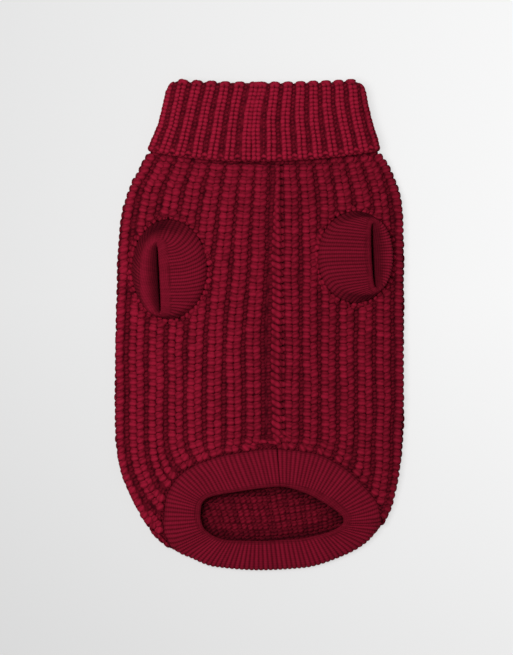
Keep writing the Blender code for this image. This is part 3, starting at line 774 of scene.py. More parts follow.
def kept(s, half):
    """Leave out stitches under the collar and in the armholes.

    The rest are given with their size, which is less at the armholes' rims, and with
    painted shade, darker near the armholes and just below the collar's front edge.
    """
    x, y, _ = s["place"].T
    front = s["face"] > 0
    below = free_edge(x) - y
    hidden = np.where(front, below < -OVERLAP, y > BACK_TOP)
    room = np.full(len(y), ROOM)
    for oval in ARMHOLES.values():
        room = np.where(front, np.minimum(room, oval_distance(s["place"], oval)), ROOM)
    shrink = np.clip((room + RIM_INSIDE) / (half + RIM_OUTSIDE), 0, 1)
    # Painted shadow of the collar's front edge, and at the end painted shade near the armholes.
    collar_shadow = np.where(front, 0.5 + 0.5 * ease((below + 1) / 5), 1)
    good = ~hidden & (shrink > SMALLEST)
    return picked(s, good), shrink[good], ((0.8 + 0.2 * ease(room / 6)) * collar_shadow)[good]


# %% How uneven the knitting is
LEG_HALF = (3.4, 3.15, 1.6)  # half width, half length and half thickness of a leg
PURL_HALF = (2.2, 2.7, 1.15)
FULL_RIB = 2.4  # the height of a rib that gives a stitch its full thickness
PRESSED_THICK = 0.62  # thickness of a stitch that the sweater lies on, as a share
PLACE_UNEVEN = 0.13  # how much places differ at random, in millimetres
SIZE_UNEVEN = 0.045  # how much sizes differ, as a share
LEAN_UNEVEN = 0.07  # how much leans differ, in radians
TONE_UNEVEN = 0.08  # how much tones differ, as a share
RIGHT_SHADE = 0.13  # painted shade: how much darker the belly is on the right
DRIFT = chance.uniform(0, 2 * math.pi, (2, 2 * SIDE_NUMBERS))


def drift(s):
    """Each rib wanders sideways by up to half a millimetre on its way down."""
    first, second = DRIFT[:, s["number"]]
    return 0.32 * np.sin(s["row"] / 3.1 + first) + 0.18 * np.sin(s["row"] / 1.3 + second)


def shade_to_right(place):
    """Painted shade: the belly is made a little darker towards the right."""
    return 1 - RIGHT_SHADE * ease((place[:, 0] + 45) / 60)


def body_stitches(name, s, form, half, spread, tone, lift, slant=False):
    """Join one set of stitches on the body's ribs; slant lets them lean more lower down."""
    s, shrink, shaded = kept(s, half[0])
    rib, rest = s["more"].T
    on_top = 1 - rest
    height = rib * lift * on_top - rest * (half[2] * PRESSED_THICK + 0.12)
    thin = np.clip(rib / FULL_RIB, 0.3, 1) * on_top + PRESSED_THICK * rest
    across = unit(np.cross(s["down"], s["out"]))
    place = s["place"] + s["out"] * height[:, None] + across * drift(s)[:, None]
    place += jitter(PLACE_UNEVEN, place) * (on_top[:, None] > 0.5)
    lower = ease((100 - s["place"][:, 1]) / 45) if slant else 1.0
    size = np.array(half) * together(shrink, (0.4 + 0.6 * shrink) * (0.64 + 0.36 * lower), thin)
    lean = s["lean"] * spread[0] * (0.3 + 0.7 * lower)
    shade = tone * shaded * shade_to_right(place)
    return lay_stitches(name, form, place, s["down"], s["out"], size, lean, shade,
                        (SIZE_UNEVEN, LEAN_UNEVEN, TONE_UNEVEN * shade),
                        roll=s["lean"] * spread[1] * on_top, inner=s["lean"])


belly = legs["more"][:, 1] < 0.5
# The stitches that the sweater lies on get painted shade, a tone of 0.8 against 0.98 on top.
body_pieces = [
    body_stitches("belly_stitches", picked(legs, belly), leg, LEG_HALF, (0.32, 0.30), 0.98, 0.45),
    body_stitches("back_stitches", picked(legs, ~belly), small, LEG_HALF, (0.20, 0.0), 0.8, 0.40),
]
purls = body_set("purls", 4.5, 2.4)
purls = picked(purls, purls["more"][:, 1] < 0.5)
# The valleys' stitches get painted shade, a tone of 0.53.
body_pieces.append(body_stitches("valley_stitches", purls, small, PURL_HALF, (0, 0), 0.53, 0.0))

# %% [markdown]
# ## The seam down the belly
#
# The panel's two long edges are grafted together. The edge stitches of the left side are
# pulled slantwise over the join, the column beside them is stretched thin, and small
# loops of the joining yarn lie across the seam, one for each row.

# %% The seam's stitches
SLANT_HALF = (2.3, 5.0, 1.7)
THIN_HALF = (1.9, 2.9, 1.2)
LOOP_HALF = (2.25, 3.0, 1.2)
loop = stitch_form(8, 6, 2.0, -0.75)
body_pieces += [
    body_stitches("seam_slanting_stitches", body_set("slanting", end=7.0), leg, SLANT_HALF,
                  (1.0, 0.15), 1.06, 0.45, True),
    body_stitches("seam_thin_stitches", body_set("thin"), leg, THIN_HALF, (0.2, 0.0), 0.57, 0.20),
]
s = body_set("seam")
shown = s["place"][:, 1] <= free_edge(s["place"][:, 0]) + OVERLAP
place = s["place"] + s["out"] * 0.75 + jitter(0.12, s["place"])
body_pieces.append(lay_stitches("seam_loops", loop, place, s["down"], s["out"], LOOP_HALF,
                                QUARTER, 0.62, (0.05, 0.15, 0.08), keep=shown))

# %% [markdown]
# ## The inside of the back
#
# A rib looks alike on both sides, so through the hem's mouth the back's inside shows the
# same columns of stitches, flatter and darkened with painted shade, most by the mouth's edge.

# %% Stitches inside the back
INSIDE_HALF = (2.6, 2.7, 0.95)
INSIDE_PURL = (2.0, 2.4, 0.8)
MOUTH = ((15, -117.3), (46, -128.5), (61, -140.5), (60.5, -143.5), (49, -150.8), (7, -156.8),
         (-23, -156), (-36.8, -150.6), (-42.7, -137.5), (-36, -125), (-14, -120.7))
MOUTH_TOP = -92.0  # the inside is seen below this level
MOUTH_WIDE = 72.0  # and up to this far from the middle
MOUTH_SHADE = 9.0  # how far the painted shadow of its edge reaches onto the inside


def from_mouth(points):
    """How far points are from the edge of the hem's mouth, seen from above."""
    corners = np.array(MOUTH, float)
    ways = np.roll(corners, -1, axis=0) - corners
    along_way = ((points[:, None, :2] - corners) * ways).sum(-1) / (ways ** 2).sum(-1)
    foot = corners + np.clip(along_way, 0, 1)[..., None] * ways
    return np.linalg.norm(points[:, None, :2] - foot, axis=-1).min(axis=1)


for name, kind, half, tone in (("inside_stitches", "inside", INSIDE_HALF, 0.62),
                               ("inside_valley_stitches", "inside_purls", INSIDE_PURL, 0.48)):
    s = body_set(kind, 3.0, 3.0, surface - normal * thick[..., None], -normal)
    x, y, _ = s["place"].T
    s = picked(s, (s["face"] < 0) & (y < MOUTH_TOP) & (np.abs(x) < MOUTH_WIDE))
    place = s["place"] + jitter(0.15, s["place"])
    shaded = tone * (0.35 + 0.65 * ease(from_mouth(place) / MOUTH_SHADE))
    body_pieces.append(lay_stitches(name, small, place, s["down"], s["out"], half, 0, shaded,
                                    (0.06, 0.15, 0.10 * shaded)))

# %% [markdown]
# ## The armholes' edges
#
# Where a cuff is linked on, the panel's stitches are drawn into the seam. They point to
# the middle of the hole, are smaller than the rest, and close the gap to the cuff.

# %% Stitches round the armholes
LINK_HALF = (2.1, 2.7, 1.5)
LINK_STEP = 4.3  # from one to the next round the hole
LINK_MARGIN = 0.9  # how far outside the hole's edge they lie


def on_belly(points):
    """Places and normals on the belly's outside nearest to points seen from above."""
    front = stitch_walk["face"] > 0
    places = surface[front].reshape(-1, 3)
    facing = normal[front].reshape(-1, 3)
    gap = ((points[:, None] - places[None, :, :2]) ** 2).sum(axis=-1)
    nearest = gap.argmin(axis=1)
    return np.column_stack([points, places[nearest, 2]]), facing[nearest]


def round_oval(oval, step, margin):
    """Even points round an oval, and the way to its middle from each."""
    middle, half = oval_size(oval, margin)
    fine = np.linspace(0, 2 * math.pi, 721)
    length = run_length(np.column_stack([np.cos(fine), np.sin(fine)]) * half)
    count = round(length[-1] / step)
    turn = np.interp(np.arange(count) / count * length[-1], length, fine)
    point = np.column_stack([np.cos(turn), np.sin(turn)])
    return middle + point * half, -unit(point / half)


rim, way = (np.concatenate(k) for k in zip(*(round_oval(oval, LINK_STEP, LINK_MARGIN)
                                             for oval in ARMHOLES.values())))
place, facing = on_belly(rim)
place = place + facing * 0.7 + jitter(0.2, place)
inward = np.column_stack([way, np.zeros(len(way))])
inward = unit(inward - facing * (inward * facing).sum(axis=1, keepdims=True))
# Painted shade round the holes: these stitches have a tone of 0.75.
body_pieces.append(lay_stitches("armhole_stitches", leg, place, inward, facing, LINK_HALF,
                                0, 0.75, (0.10, 0.35, 0.12)))

# %% Stitches drawn together where the belly seam and the left fold meet the band
# Columns: x, y, lean, half width and half length.
DRAWN_ROWS = (
    (20.5, -79.6, 1.05, 1.6, 4.3), (19.2, -83.8, 1.25, 1.6, 4.3), (10.2, -85.2, 1.45, 1.6, 4.3),
    (2.2, -84.6, 1.62, 1.6, 4.3), (-5.5, -86.6, 1.75, 1.6, 4.3), (14.8, -80.2, 1.2, 1.6, 4.3),
    (-78.6, -136.6, 0.6, 2.3, 2.6), (-75.8, -140.2, 0.6, 2.5, 2.6), (-73.2, -144.0, 0.4, 2.6, 2.7),
    (-76.0, -150.6, 0.9, 2.2, 2.8), (-72.6, -153.0, 0.9, 2.5, 2.8), (-69.8, -155.9, 0.9, 2.4, 2.8),
    (-67.2, -158.6, 0.9, 2.2, 2.6),
)
DRAWN_THICK = 1.2  # half their thickness
drawn = np.array(DRAWN_ROWS)
place, facing = on_belly(drawn[:, :2])
down = together(0.0, -1.0, np.zeros(len(drawn)))
size = together(*drawn[:, 3:].T, DRAWN_THICK)
body_pieces.append(join_stitches("seam_end_stitches", leg, place + facing * 0.9, down, facing,
                                 size, drawn[:, 2], np.zeros(len(drawn)),
                                 np.full(len(drawn), 0.9), chunky_yarn))
for piece in body_pieces:
    dress(piece)

# %% [markdown]
# ## The collar
#
# The collar is a knitted tube that stands at the neck and is folded down over itself.
# Its ribs are narrower than the body's, with smaller stitches. The wall goes up from the
# neck seam, round the fold, and down to a cast-off free edge.

# %% The collar's chart
COLLAR_OUTLINE = {
    "y": (178, 172, 163, 154, 145, 137, 128, 118),
    "left": (-65.5, -67.8, -70.0, -72.1, -74.5, -77.9, -81.6, -85.7),
    "right": (74.8, 77.2, 78.7, 80.8, 83.2, 85.9, 88.1, 90.6),
    "seam": (-0.4, -1.0, -2.8, -4.6, -5.5, -5.8, -5.9, -6.0),
}
COLLAR_WALL = 3.0
COLLAR_SLIT = 0.5  # between the tube and the flap
COLLAR_RIB = 1.8
NECK_GAP = 1.2  # between the two layers at the neck
NECK_LEVEL = 7.1  # height of the middle of that gap
COLLAR_RIBS = {1: 8.75, -1: 6.75}  # from the seam to the right and the left fold
SEAM_RIB = 0.8  # how far the wide rib over the seam reaches to each side, in ribs
FOLD_TOP = 176.0
FOLD_RISE = 2.8  # how much higher the fold is towards the sides
CORNER_DROP = 6.0  # how far its corners are rounded off
CORNER_START = 0.86
FREE_BACK = 126.0
FREE_BACK_RISE = 1.6
FREE_LIFT = 1.2  # how far the free edge stands off the belly


def neck_ring(samples, y, radial, lifted):
    """The neck opening's flattened outline, moved out by a radial distance."""
    side, face = samples["side"], samples["face"]
    depth = COLLAR_RIB + 2 * COLLAR_WALL + COLLAR_SLIT
    left, right, seam = (outline(COLLAR_OUTLINE, name, y) for name in ("left", "right", "seam"))
    edge = np.where(side > 0, right - depth, left + depth)
    middle = np.where(face > 0, seam + side * SEAM_GAP / 2, (left + right) / 2)
    span = np.abs(edge - middle)
    whole = NECK_GAP / 2 + depth - COLLAR_RIB
    run = samples["reach"] * (span + (QUARTER - 1) * whole)
    turn = np.minimum(run / whole, QUARTER)
    flat = np.maximum(run - QUARTER * whole, 0) / (span - whole)
    radius = NECK_GAP / 2 + radial
    x = edge + side * radial - side * (radius * (1 - np.cos(turn))
                                       + flat * (span + radial - radius))
    z = NECK_LEVEL + face * radius * np.sin(turn) + np.where(face > 0, lifted, 0) * np.sin(turn)
    return together(x, y, np.maximum(z, 0))


def collar_rings(samples, stretch, share, turn, raised):
    """The cloth's outside and inside at one station of the folded wall."""
    side, face = samples["side"], samples["face"]
    wide = 1 - samples["reach"]
    corner = CORNER_DROP * ease((wide - CORNER_START) / (1 - CORNER_START))
    top = FOLD_TOP + FOLD_RISE * wide ** 2 - corner
    free = np.where(face > 0, FREE_FRONT + FREE_FRONT_RISE * wide ** 2,
                    FREE_BACK + FREE_BACK_RISE * wide ** 2)
    bend = COLLAR_WALL + COLLAR_SLIT / 2
    centre = top - bend - COLLAR_RIB * 0.9
    neck = NECK_END + SEAM_GAP
    base = {"tube": neck + share * (centre - neck), "fold": centre,
            "flap": centre + share * (free - centre)}[stretch]
    rounding = np.clip(samples["ribs"] - np.where(side > 0, COLLAR_RIBS[1], COLLAR_RIBS[-1]), 0, 1)
    under = np.where(face > 0, 1, np.maximum(1 - 2.5 * rounding, 0))
    lifted = FREE_LIFT * share ** 2 if stretch == "flap" else 0.0
    rings = []
    for depth, height in ((bend, raised * under), (COLLAR_SLIT / 2, 0.0)):
        radial = bend - (depth + height) * math.cos(turn)
        y = base + (depth + height) * math.sin(turn)
        rings.append(neck_ring(samples, y, radial, lifted))
    return rings


def collar_phase(samples):
    """The rib phase round the collar, with one wide rib over its seam."""
    return np.where(samples["ribs"] < SEAM_RIB, 0.5, samples["ribs"] - SEAM_RIB)


collar_walk = walk(COLLAR_RIBS, BACK_RIBS, 1 / 10)
print("points round the collar", len(collar_walk["ribs"]))

# %% The collar's wall
COLLAR_GROUND = 0.55  # how much of the rib's height is ground; the rest is stitches
stations = [("tube", s, 0.0) for s in np.linspace(0, 0.96, 8)]
stations += [("fold", 0.0, t) for t in np.linspace(0, math.pi, 13)]
stations += [("flap", s, math.pi) for s in np.linspace(0.03, 1.0, 30)]


def collar_grid(samples, stations, share_of_rib):
    """The outside and the inside of the folded wall at many stations."""
    rings = []
    for stretch, share, turn in stations:
        grown = {"tube": 0.0, "fold": ease(turn / 1.6), "flap": 1.0}[stretch]
        raised = share_of_rib * grown * COLLAR_RIB * rib_shape(collar_phase(samples))
        rings.append(collar_rings(samples, stretch, share, turn, raised))
    return [np.stack(grid, axis=1) for grid in zip(*rings)]


outer, inner = collar_grid(collar_walk, stations, COLLAR_GROUND)
uv_at = together(collar_walk["ribs"][:, None] / 3, np.linspace(0, 4, len(stations)))
# Painted shade: the ground is dark, a little lighter on the crests.
deep = GROUND_SHADE + 0.10 * rib_shape(collar_phase(collar_walk))[:, None]
collar = closed_wall("collar_turned_down", outer, inner, uv_at, deep, 0.3, collar_yarn)
dress(collar, "collar")

# %% The collar's stitches
COLLAR_ROW = 2.9
COLLAR_LEG = (2.0, 2.05, 1.05)
COLLAR_PURL = (1.5, 1.6, 0.8)
COLLAR_UNEVEN = (0.07, 0.05, 0.06, 0.07)  # spreads of place in mm, size, lean and tone
fine_stations = [("flap", s, math.pi) for s in np.linspace(1.0, 0.0, 60)]
fine_stations += [("fold", 0.0, t) for t in np.linspace(math.pi, 0.8, 14)[1:]]
collar_fine = walk(COLLAR_RIBS, BACK_RIBS, 1 / 30)
outer, _ = collar_grid(collar_fine, fine_stations, 0.0)
facing = -normals(outer)


def collar_set(kind, start, end):
    """Two columns a rib, four on the wide one over the seam, and one in each valley."""
    ribs, side = collar_fine["ribs"], collar_fine["side"]
    part = (ribs - SEAM_RIB) % 1
    if kind == "purls":
        chosen = (ribs > SEAM_RIB - 0.01) & (near(part, 0) | near(part, 1))
        lean = np.zeros(len(ribs))
    else:
        wide = near(ribs, 4 / 30) | near(ribs, 13 / 30)
        chosen = wide | (ribs > SEAM_RIB) & (near(part, 1 / 3) | near(part, 2 / 3))
        lean = side * np.where(wide, np.sign(ribs - 0.3), np.sign(part - 0.5))
    columns = [(i, lean[i]) for i in np.flatnonzero(chosen)]
    return gather(collar_fine, columns, COLLAR_ROW, start, end, outer, facing, 1.01 - SEAM_RIB)


def flatter(half, least, top):
    """Half sizes of stitches whose thickness falls to a least share away from the top."""
    return np.array(half) * together(1, 1, least + (1 - least) * top)


def collar_stitches(name, s, form, half, spread, tone, lift):
    """Join one set of stitches on the collar's ribs."""
    count = len(s["row"])
    rest = np.clip(-2 * s["out"][:, 2], 0, 1)
    top = 1 - rest
    height = (lift * top - 0.3 * rest) * COLLAR_RIB
    across = unit(np.cross(s["down"], s["out"]))
    place = s["place"] + s["out"] * height[:, None] + 0.5 * across * drift(s)[:, None]
    size = flatter(half, 0.45, top) * (1 + chance.normal(0, COLLAR_UNEVEN[1], (count, 1)))
    place = place + jitter(COLLAR_UNEVEN[0], place)
    lean = chance.normal(0, COLLAR_UNEVEN[2], count) - s["lean"] * spread[0]
    shade = tone * (1 + chance.normal(0, COLLAR_UNEVEN[3], count))
    return join_stitches(name, form, place, s["down"], s["out"], size, lean,
                         -s["lean"] * spread[1] * top, shade, collar_yarn, -s["lean"])


# The valleys' stitches get painted shade, a tone of 0.50.
collar_pieces = [
    collar_stitches("collar_stitches", collar_set("legs", 1.6, 0.0), leg, COLLAR_LEG,
                    (0.35, 0.30), 0.97, 0.50),
    collar_stitches("collar_valley_stitches", collar_set("purls", 4.0, 7.0), small, COLLAR_PURL,
                    (0, 0), 0.50, 0.05),
]

# %% The collar's cast-off edge
CHAIN_HALF = (1.1, 2.3, 0.9)
CHAIN_STEP = 3.9  # from one stitch of the chain to the next
ring = outer[:, 0]
length = run_length(ring)
at = np.arange(0.8, length[-1] - 0.8, CHAIN_STEP)
ring, onward, out = (read_at(at, length, values)
                     for values in (ring, unit(bisector(ring)), facing[:, 0]))
top = np.clip(1 + 2 * out[:, 2], 0, 1)
place = ring + out * (0.2 * top - 0.3)[:, None]
# Painted shade along the free edge: the cast-off chain has a tone of 0.6.
collar_pieces.append(lay_stitches("collar_cast_off", leg, place, onward, out,
                                  flatter(CHAIN_HALF, 0.4, top), 0, 0.6, (0, 0.12, 0.048),
                                  collar_yarn))

# %% Where each rib ends
CAP_HALF = (2.3, 3.8, 1.5)
CAP_STATION = 64  # on the fold, where a rib's end shows as one rounded arch
JOIN_HALF = (1.4, 2.9, 1.0)
JOIN_STATION = 3  # just above the free edge, where small loops lie in the valleys


def rib_ends(part, station, lift):
    """One place for each rib or valley, the ways across and out, and a width."""
    ribs, side = collar_fine["ribs"], collar_fine["side"]
    rest = (ribs - SEAM_RIB) % 1
    wide = near(ribs, 0) & (side > 0) & (part > 0)
    chosen = wide | (ribs > SEAM_RIB - 0.01) & (near(rest, part) | near(rest, part + 1))
    across = unit(bisector(outer[:, station]))[chosen]
    out = facing[:, station][chosen]
    return outer[:, station][chosen] + out * lift, across, out, np.where(wide[chosen], 1.75, 1)


place, across, out, width = rib_ends(0.5, CAP_STATION, 0.9)
collar_pieces.append(lay_stitches("collar_rib_ends", leg, place, across, out,
                                  np.array(CAP_HALF) * together(1, width, 1), 0, 0.95,
                                  (0, 0.06, 0.05), collar_yarn))
place, across, out, _ = rib_ends(0.0, JOIN_STATION, 0.35)
top = np.clip(1 + 2 * out[:, 2], 0, 1)
collar_pieces.append(lay_stitches("collar_rib_joins", loop, place - out * 0.8 * (1 - top[:, None]),
                                  unit(np.cross(out, across)), out, flatter(JOIN_HALF, 0.4, top),
                                  QUARTER, 0.85, (0, 0.08, 0.06), collar_yarn))
for piece in collar_pieces:
    dress(piece)

# %% [markdown]
# ## The hem band
#
# A fine 1 by 1 rib in a thinner yarn is linked to the panel's open end. It is soft and
# stretchy, so it is drawn in and lies like the mouth of a bag: from the seam it goes up
# to a bend and in to a cast-off edge, where the ribs fade, and at the bottom it turns up
# over the tail end.

# %% The hem band's chart
BAND_WALL = 2.4
FOLD_GAP = 0.8  # more room for the seam where the panel folds
BAND_RIB = 0.8
BAND_RIBS = 114  # all round
BAND_TURN_UP = 10.0  # how strongly it turns up over the tail end
BAND_ROWS = ("share", "bend_x", "bend_y", "bend_z", "edge_x", "edge_y", "edge_z")
BAND_SECTIONS = (
    (0.000, 13.8, -103.0, 10.4, 15.0, -117.3, 9.8),
    (0.070, 36.5, -106.8, 10.4, 32.0, -121.5, 9.8),
    (0.140, 56.0, -117.0, 10.4, 46.0, -128.5, 9.7),
    (0.205, 71.5, -130.5, 10.3, 57.5, -136.5, 9.6),
    (0.240, 78.6, -139.3, 10.0, 61.0, -141.3, 9.2),
    (0.265, 84.0, -146.2, 7.4, 59.7, -144.8, 8.7),
    (0.290, 79.5, -154.0, 4.6, 56.6, -147.2, 8.3),
    (0.340, 62.0, -165.4, 4.2, 47.7, -151.2, 8.0),
    (0.420, 31.0, -174.9, 4.2, 26.0, -155.3, 7.6),
    (0.500, -0.5, -176.5, 4.2, -0.5, -156.9, 7.5),
    (0.580, -32.5, -174.0, 4.2, -21.7, -156.2, 7.7),
    (0.625, -48.5, -168.0, 4.4, -31.0, -154.0, 8.1),
    (0.660, -58.9, -162.0, 6.2, -36.7, -150.7, 8.7),
    (0.690, -58.4, -151.6, 9.2, -40.5, -146.9, 9.1),
    (0.730, -56.3, -138.2, 10.3, -42.7, -138.5, 9.5),
    (0.765, -54.6, -128.0, 10.4, -42.3, -132.2, 9.7),
    (0.800, -50.9, -120.5, 10.4, -40.1, -127.5, 9.8),
    (0.830, -44.0, -114.0, 10.4, -35.8, -124.9, 9.8),
    (0.865, -32.8, -109.3, 10.4, -25.8, -122.5, 9.8),
    (0.900, -22.0, -107.0, 10.4, -15.2, -120.9, 9.8),
    (0.950, -2.8, -104.3, 10.4, 1.8, -118.4, 9.8),
)


def hem_seam(share):
    """The band's sewn edge at shares of its length, its normals and its way onward."""
    surface, normal, *_ = body_surface((-138, -149, -160), body_walk)  # to its lower edge
    edge, facing = surface[:, -1], normal[:, -1]
    onward = unit(np.cross(unit(bisector(edge)), facing))
    folded = 1 - facing[:, 2] ** 2
    folded = np.maximum(folded, np.maximum(np.roll(folded, 1), np.roll(folded, -1)))
    edge = edge + onward * (SEAM_GAP + FOLD_GAP * np.sqrt(folded))[:, None]
    length = run_length(edge)
    place, facing, onward = (read_at(share * length[-1], length, values)
                             for values in (edge, facing, onward))
    return place, unit(facing), unit(onward)


def band_points(names, share):
    """Three columns of the band's table, read on past both of its ends."""
    table = np.array(BAND_SECTIONS, float)
    before, after = table[-3:].copy(), table[:3].copy()
    before[:, 0] -= 1
    after[:, 0] += 1
    whole = np.concatenate([before, table, after])
    return together(*(column(BAND_ROWS, whole, name, share) for name in names))


def band_middle(share, steps):
    """The band's middle surface, from its seam over its bend to its free edge."""
    place, facing, onward = hem_seam(share)
    seam = place - facing * BAND_WALL / 2
    bend = band_points(BAND_ROWS[1:4], share)
    edge = band_points(BAND_ROWS[4:], share)
    under = (1 - facing[:, 2:]) / 2
    over = (1 - under) * (edge - seam) / 2 + under * np.array([0, 0, BAND_TURN_UP])
    leaving = onward * np.linalg.norm(bend - seam, axis=-1, keepdims=True)
    spans = ((seam, leaving, bend, over), (bend, over, edge, edge - bend))
    return np.stack([cubic(t, *spans[k]) for k, t in steps], axis=1)


# %% The hem band's wall
FINE_ROUND = 0.7  # lower is rounder on top and tighter in the valley
FINE_VALLEY_SHADE = 0.30  # painted shade: tone in a valley
FINE_CREST_LIGHT = 0.64  # painted light: how much lighter a crest is
LIP_ROUND = 1.3  # distance from the free edge over which the wall is rounded off
LIP_FADE = 1.8  # distance over which the ridges fade into the lip
LIP_RIB = 0.3  # share of the ridges' height that is left there
LIP_RAISED = 0.25  # how far the lip stands out past the wall
RIB_TONES = np.random.default_rng(41).uniform(0.90, 1.06, BAND_RIBS + 1)  # none quite alike
# The width of the band's lip, at shares of its length.
BAND_LIP = ((0, 0.08, 0.16, 0.22, 0.28, 0.35, 0.41, 0.6, 0.67, 0.74, 0.8, 0.88, 1),
            (2.0, 3.6, 5.4, 5.4, 3.8, 1.8, 0.5, 0.5, 2.4, 3.8, 3.0, 1.6, 2.0))


def fine_rib_wall(name, middle, phase, half, rib, grown, lip_width, lip_tone, depth, joined):
    """A band with fine ridges outside, a plain inside and a rounded free edge.

    The ridges fade at the lip. The tone is painted shade: darker in the ridges' valleys,
    and times depth, which says how deep in shadow each point lies.
    """
    normal = normals(middle)
    run = np.stack([run_length(line) for line in middle])
    to_edge = run[:, -1:] - run
    rounded = np.sqrt(np.clip(1 - (1 - to_edge / LIP_ROUND) ** 2, 0, 1))
    rounded = np.where(to_edge > LIP_ROUND, 1, np.maximum(rounded, 0.12))
    resting = np.clip(1 + 1.5 * normal[:, :, 2], 0, 1)
    lip_width = np.broadcast_to(lip_width, len(middle))[:, None]
    plain = ease((to_edge - lip_width) / LIP_FADE)
    ridge = rib_shape(phase, FINE_ROUND)[:, None]
    raised = rib * ridge * grown * (LIP_RIB + (1 - LIP_RIB) * plain) * resting
    raised = raised + LIP_RAISED * ease((lip_width + 1 - to_edge) / 1.5) * resting
    outer = middle + normal * ((half + raised) * rounded)[..., None]
    inner = middle - normal * (half * rounded)[..., None]
    outer[:, :, 2] = np.maximum(outer[:, :, 2], 0.02)
    inner[:, :, 2] = np.maximum(inner[:, :, 2], 0.04)
    # Painted shade: valleys darker than crests, faint on the lip, all times depth.
    shade = np.maximum(FINE_VALLEY_SHADE + FINE_CREST_LIGHT * ridge * grown * plain,
                       lip_tone * (0.86 + 0.14 * ridge) * (1 - plain))
    shade = shade * depth * RIB_TONES[np.floor(phase).astype(int)][:, None]
    uv_at = together(phase[:, None], run / 4)
    return closed_wall(name, outer, inner, uv_at, shade, 0.3, fine_yarn, joined)


share = np.linspace(0.0002, 0.9998, 6 * BAND_RIBS + 1)
steps = [(0, t) for t in np.linspace(0, 1, 9)[:-1]] + [(1, t) for t in np.linspace(0, 1, 16)]
grown = ease(np.array([k + t for k, t in steps]) / 0.3)
band = fine_rib_wall("hem_band_fine_rib", band_middle(share, steps), share * BAND_RIBS,
                     BAND_WALL / 2, BAND_RIB, grown, np.interp(share, *BAND_LIP), 0.66, 1.0,
                     False)
dress(band, "hem_band")

# %% The linked seam between panel and band
HEM_LINK_HALF = (1.3, 2.0, 1.0)
HEM_LINKS = 125  # all round, of which only those on top are made
place, facing, onward = hem_seam((np.arange(HEM_LINKS) + 0.5) / HEM_LINKS)
place = place + facing * 0.1 + jitter(0.12, place)
upper = facing[:, 2] > -0.3
# Painted shade along the seam: the links are dark, a tone of 0.4.
hem_links = lay_stitches("hem_linking_stitches", small, place[upper], onward[upper],
                         facing[upper], HEM_LINK_HALF, 0, 0.4, (0.1, 0.15, 0.06))
dress(hem_links)

# %% [markdown]
# ## The leg cuffs
#
# Each cuff is a short tube in the same fine rib. It is linked into its armhole, stands up
# out of it and flops outward, so its mouth shows as a slit between two lips, where the ribs
# fade. The lips lie closer together than in the solids, which keep the mouth wide enough
# for a leg.

# %% The cuffs' charts
CUFF_WALL = 2.0
CUFF_LIP = {"cuff_left": (13.0, 6.5), "cuff_right": (3.0, 4.5)}  # widths, left and right
CUFF_SLIT_SHADE = {"cuff_left": 0.75, "cuff_right": 0.6}  # painted shade: how much darker the lips are down in the slit
CUFF_SIDE_SHADE = {"cuff_left": 1.0, "cuff_right": 0.92}  # painted shade: the right one is a little darker
CUFF_RIB = 0.6
CUFF_RIBS = 58  # all round
CUFF_EVEN = 3  # the row whose ring has its points evenly spaced
CUFF_CREST = 1.3  # higher makes the tips longer and flatter
CUFF_ROWS = ("oval", "left", "tip", "right", "low", "high", "z_left", "z_tip", "z_right",
             "slant")
CUFF_RINGS = {
    "cuff_left": (
        (1.00, -91.2, -65.2, -39.3, 5.6, 75.6, 6.9, 6.9, 6.9, 0.0),
        (1.00, -91.1, -65.6, -39.4, 5.8, 75.3, 10.0, 9.8, 10.2, 0.0),
        (0.90, -88.8, -70.0, -43.5, 6.8, 69.0, 13.4, 12.0, 13.9, 0.0),
        (0.80, -84.6, -72.6, -55.0, 8.4, 61.0, 15.6, 13.6, 15.6, -0.02),
        (0.75, -79.2, -73.2, -65.0, 9.0, 59.0, 14.4, 14.4, 15.9, -0.04),
        (0.70, -73.4, -72.9, -72.3, 10.0, 56.5, 12.2, 14.6, 15.6, -0.05),
    ),
    "cuff_right": (
        (1.00, 43.7, 69.3, 95.0, 17.2, 81.4, 6.9, 6.9, 6.9, 0.0),
        (1.00, 43.8, 69.8, 94.9, 17.4, 81.2, 10.2, 9.8, 10.0, 0.0),
        (0.90, 47.0, 76.0, 95.3, 22.0, 77.8, 13.9, 11.8, 12.8, 0.0),
        (0.85, 58.5, 81.0, 94.6, 24.6, 76.0, 15.5, 13.4, 15.4, -0.02),
        (0.80, 70.5, 83.0, 89.8, 26.0, 74.6, 15.9, 14.4, 14.4, -0.04),
        (0.75, 81.0, 83.2, 82.6, 27.5, 73.2, 15.8, 14.4, 12.2, -0.045),
    ),
}


def half_ring(row, side, turn):
    """One side of a cuff's ring, from its low tip at -90 degrees to its high one."""
    size = dict(zip(CUFF_ROWS, row))
    wide, tall = np.abs(np.cos(turn)), np.sin(turn)
    x = size["tip"] + (size[side] - size["tip"]) * wide ** size["oval"]
    rise = (size["high"] - size["low"]) / 2 * tall
    x += size["slant"] * rise
    y = (size["low"] + size["high"]) / 2 + rise
    z = size["z_tip"] + (size["z_" + side] - size["z_tip"]) * wide ** CUFF_CREST
    return together(x, y, z)


def even_turns(row, side, count):
    """The angles that space one ring's points evenly."""
    fine = np.linspace(-QUARTER, QUARTER, 400)
    length = run_length(half_ring(row, side, fine))
    return np.interp(np.linspace(0, length[-1], count + 1), length, fine)


def cuff_middle(name, count, rings):
    """A cuff's middle surface, from its low tip up its left side and down its right one."""
    table = np.array(CUFF_RINGS[name])
    rows = together(*(smooth(np.arange(len(table)), values, rings) for values in table.T))
    left, right = (even_turns(table[CUFF_EVEN], side, count) for side in ("left", "right"))
    return np.stack([np.concatenate([half_ring(row, "left", left),
                                     half_ring(row, "right", right[::-1])[1:]])
                     for row in rows], axis=1)


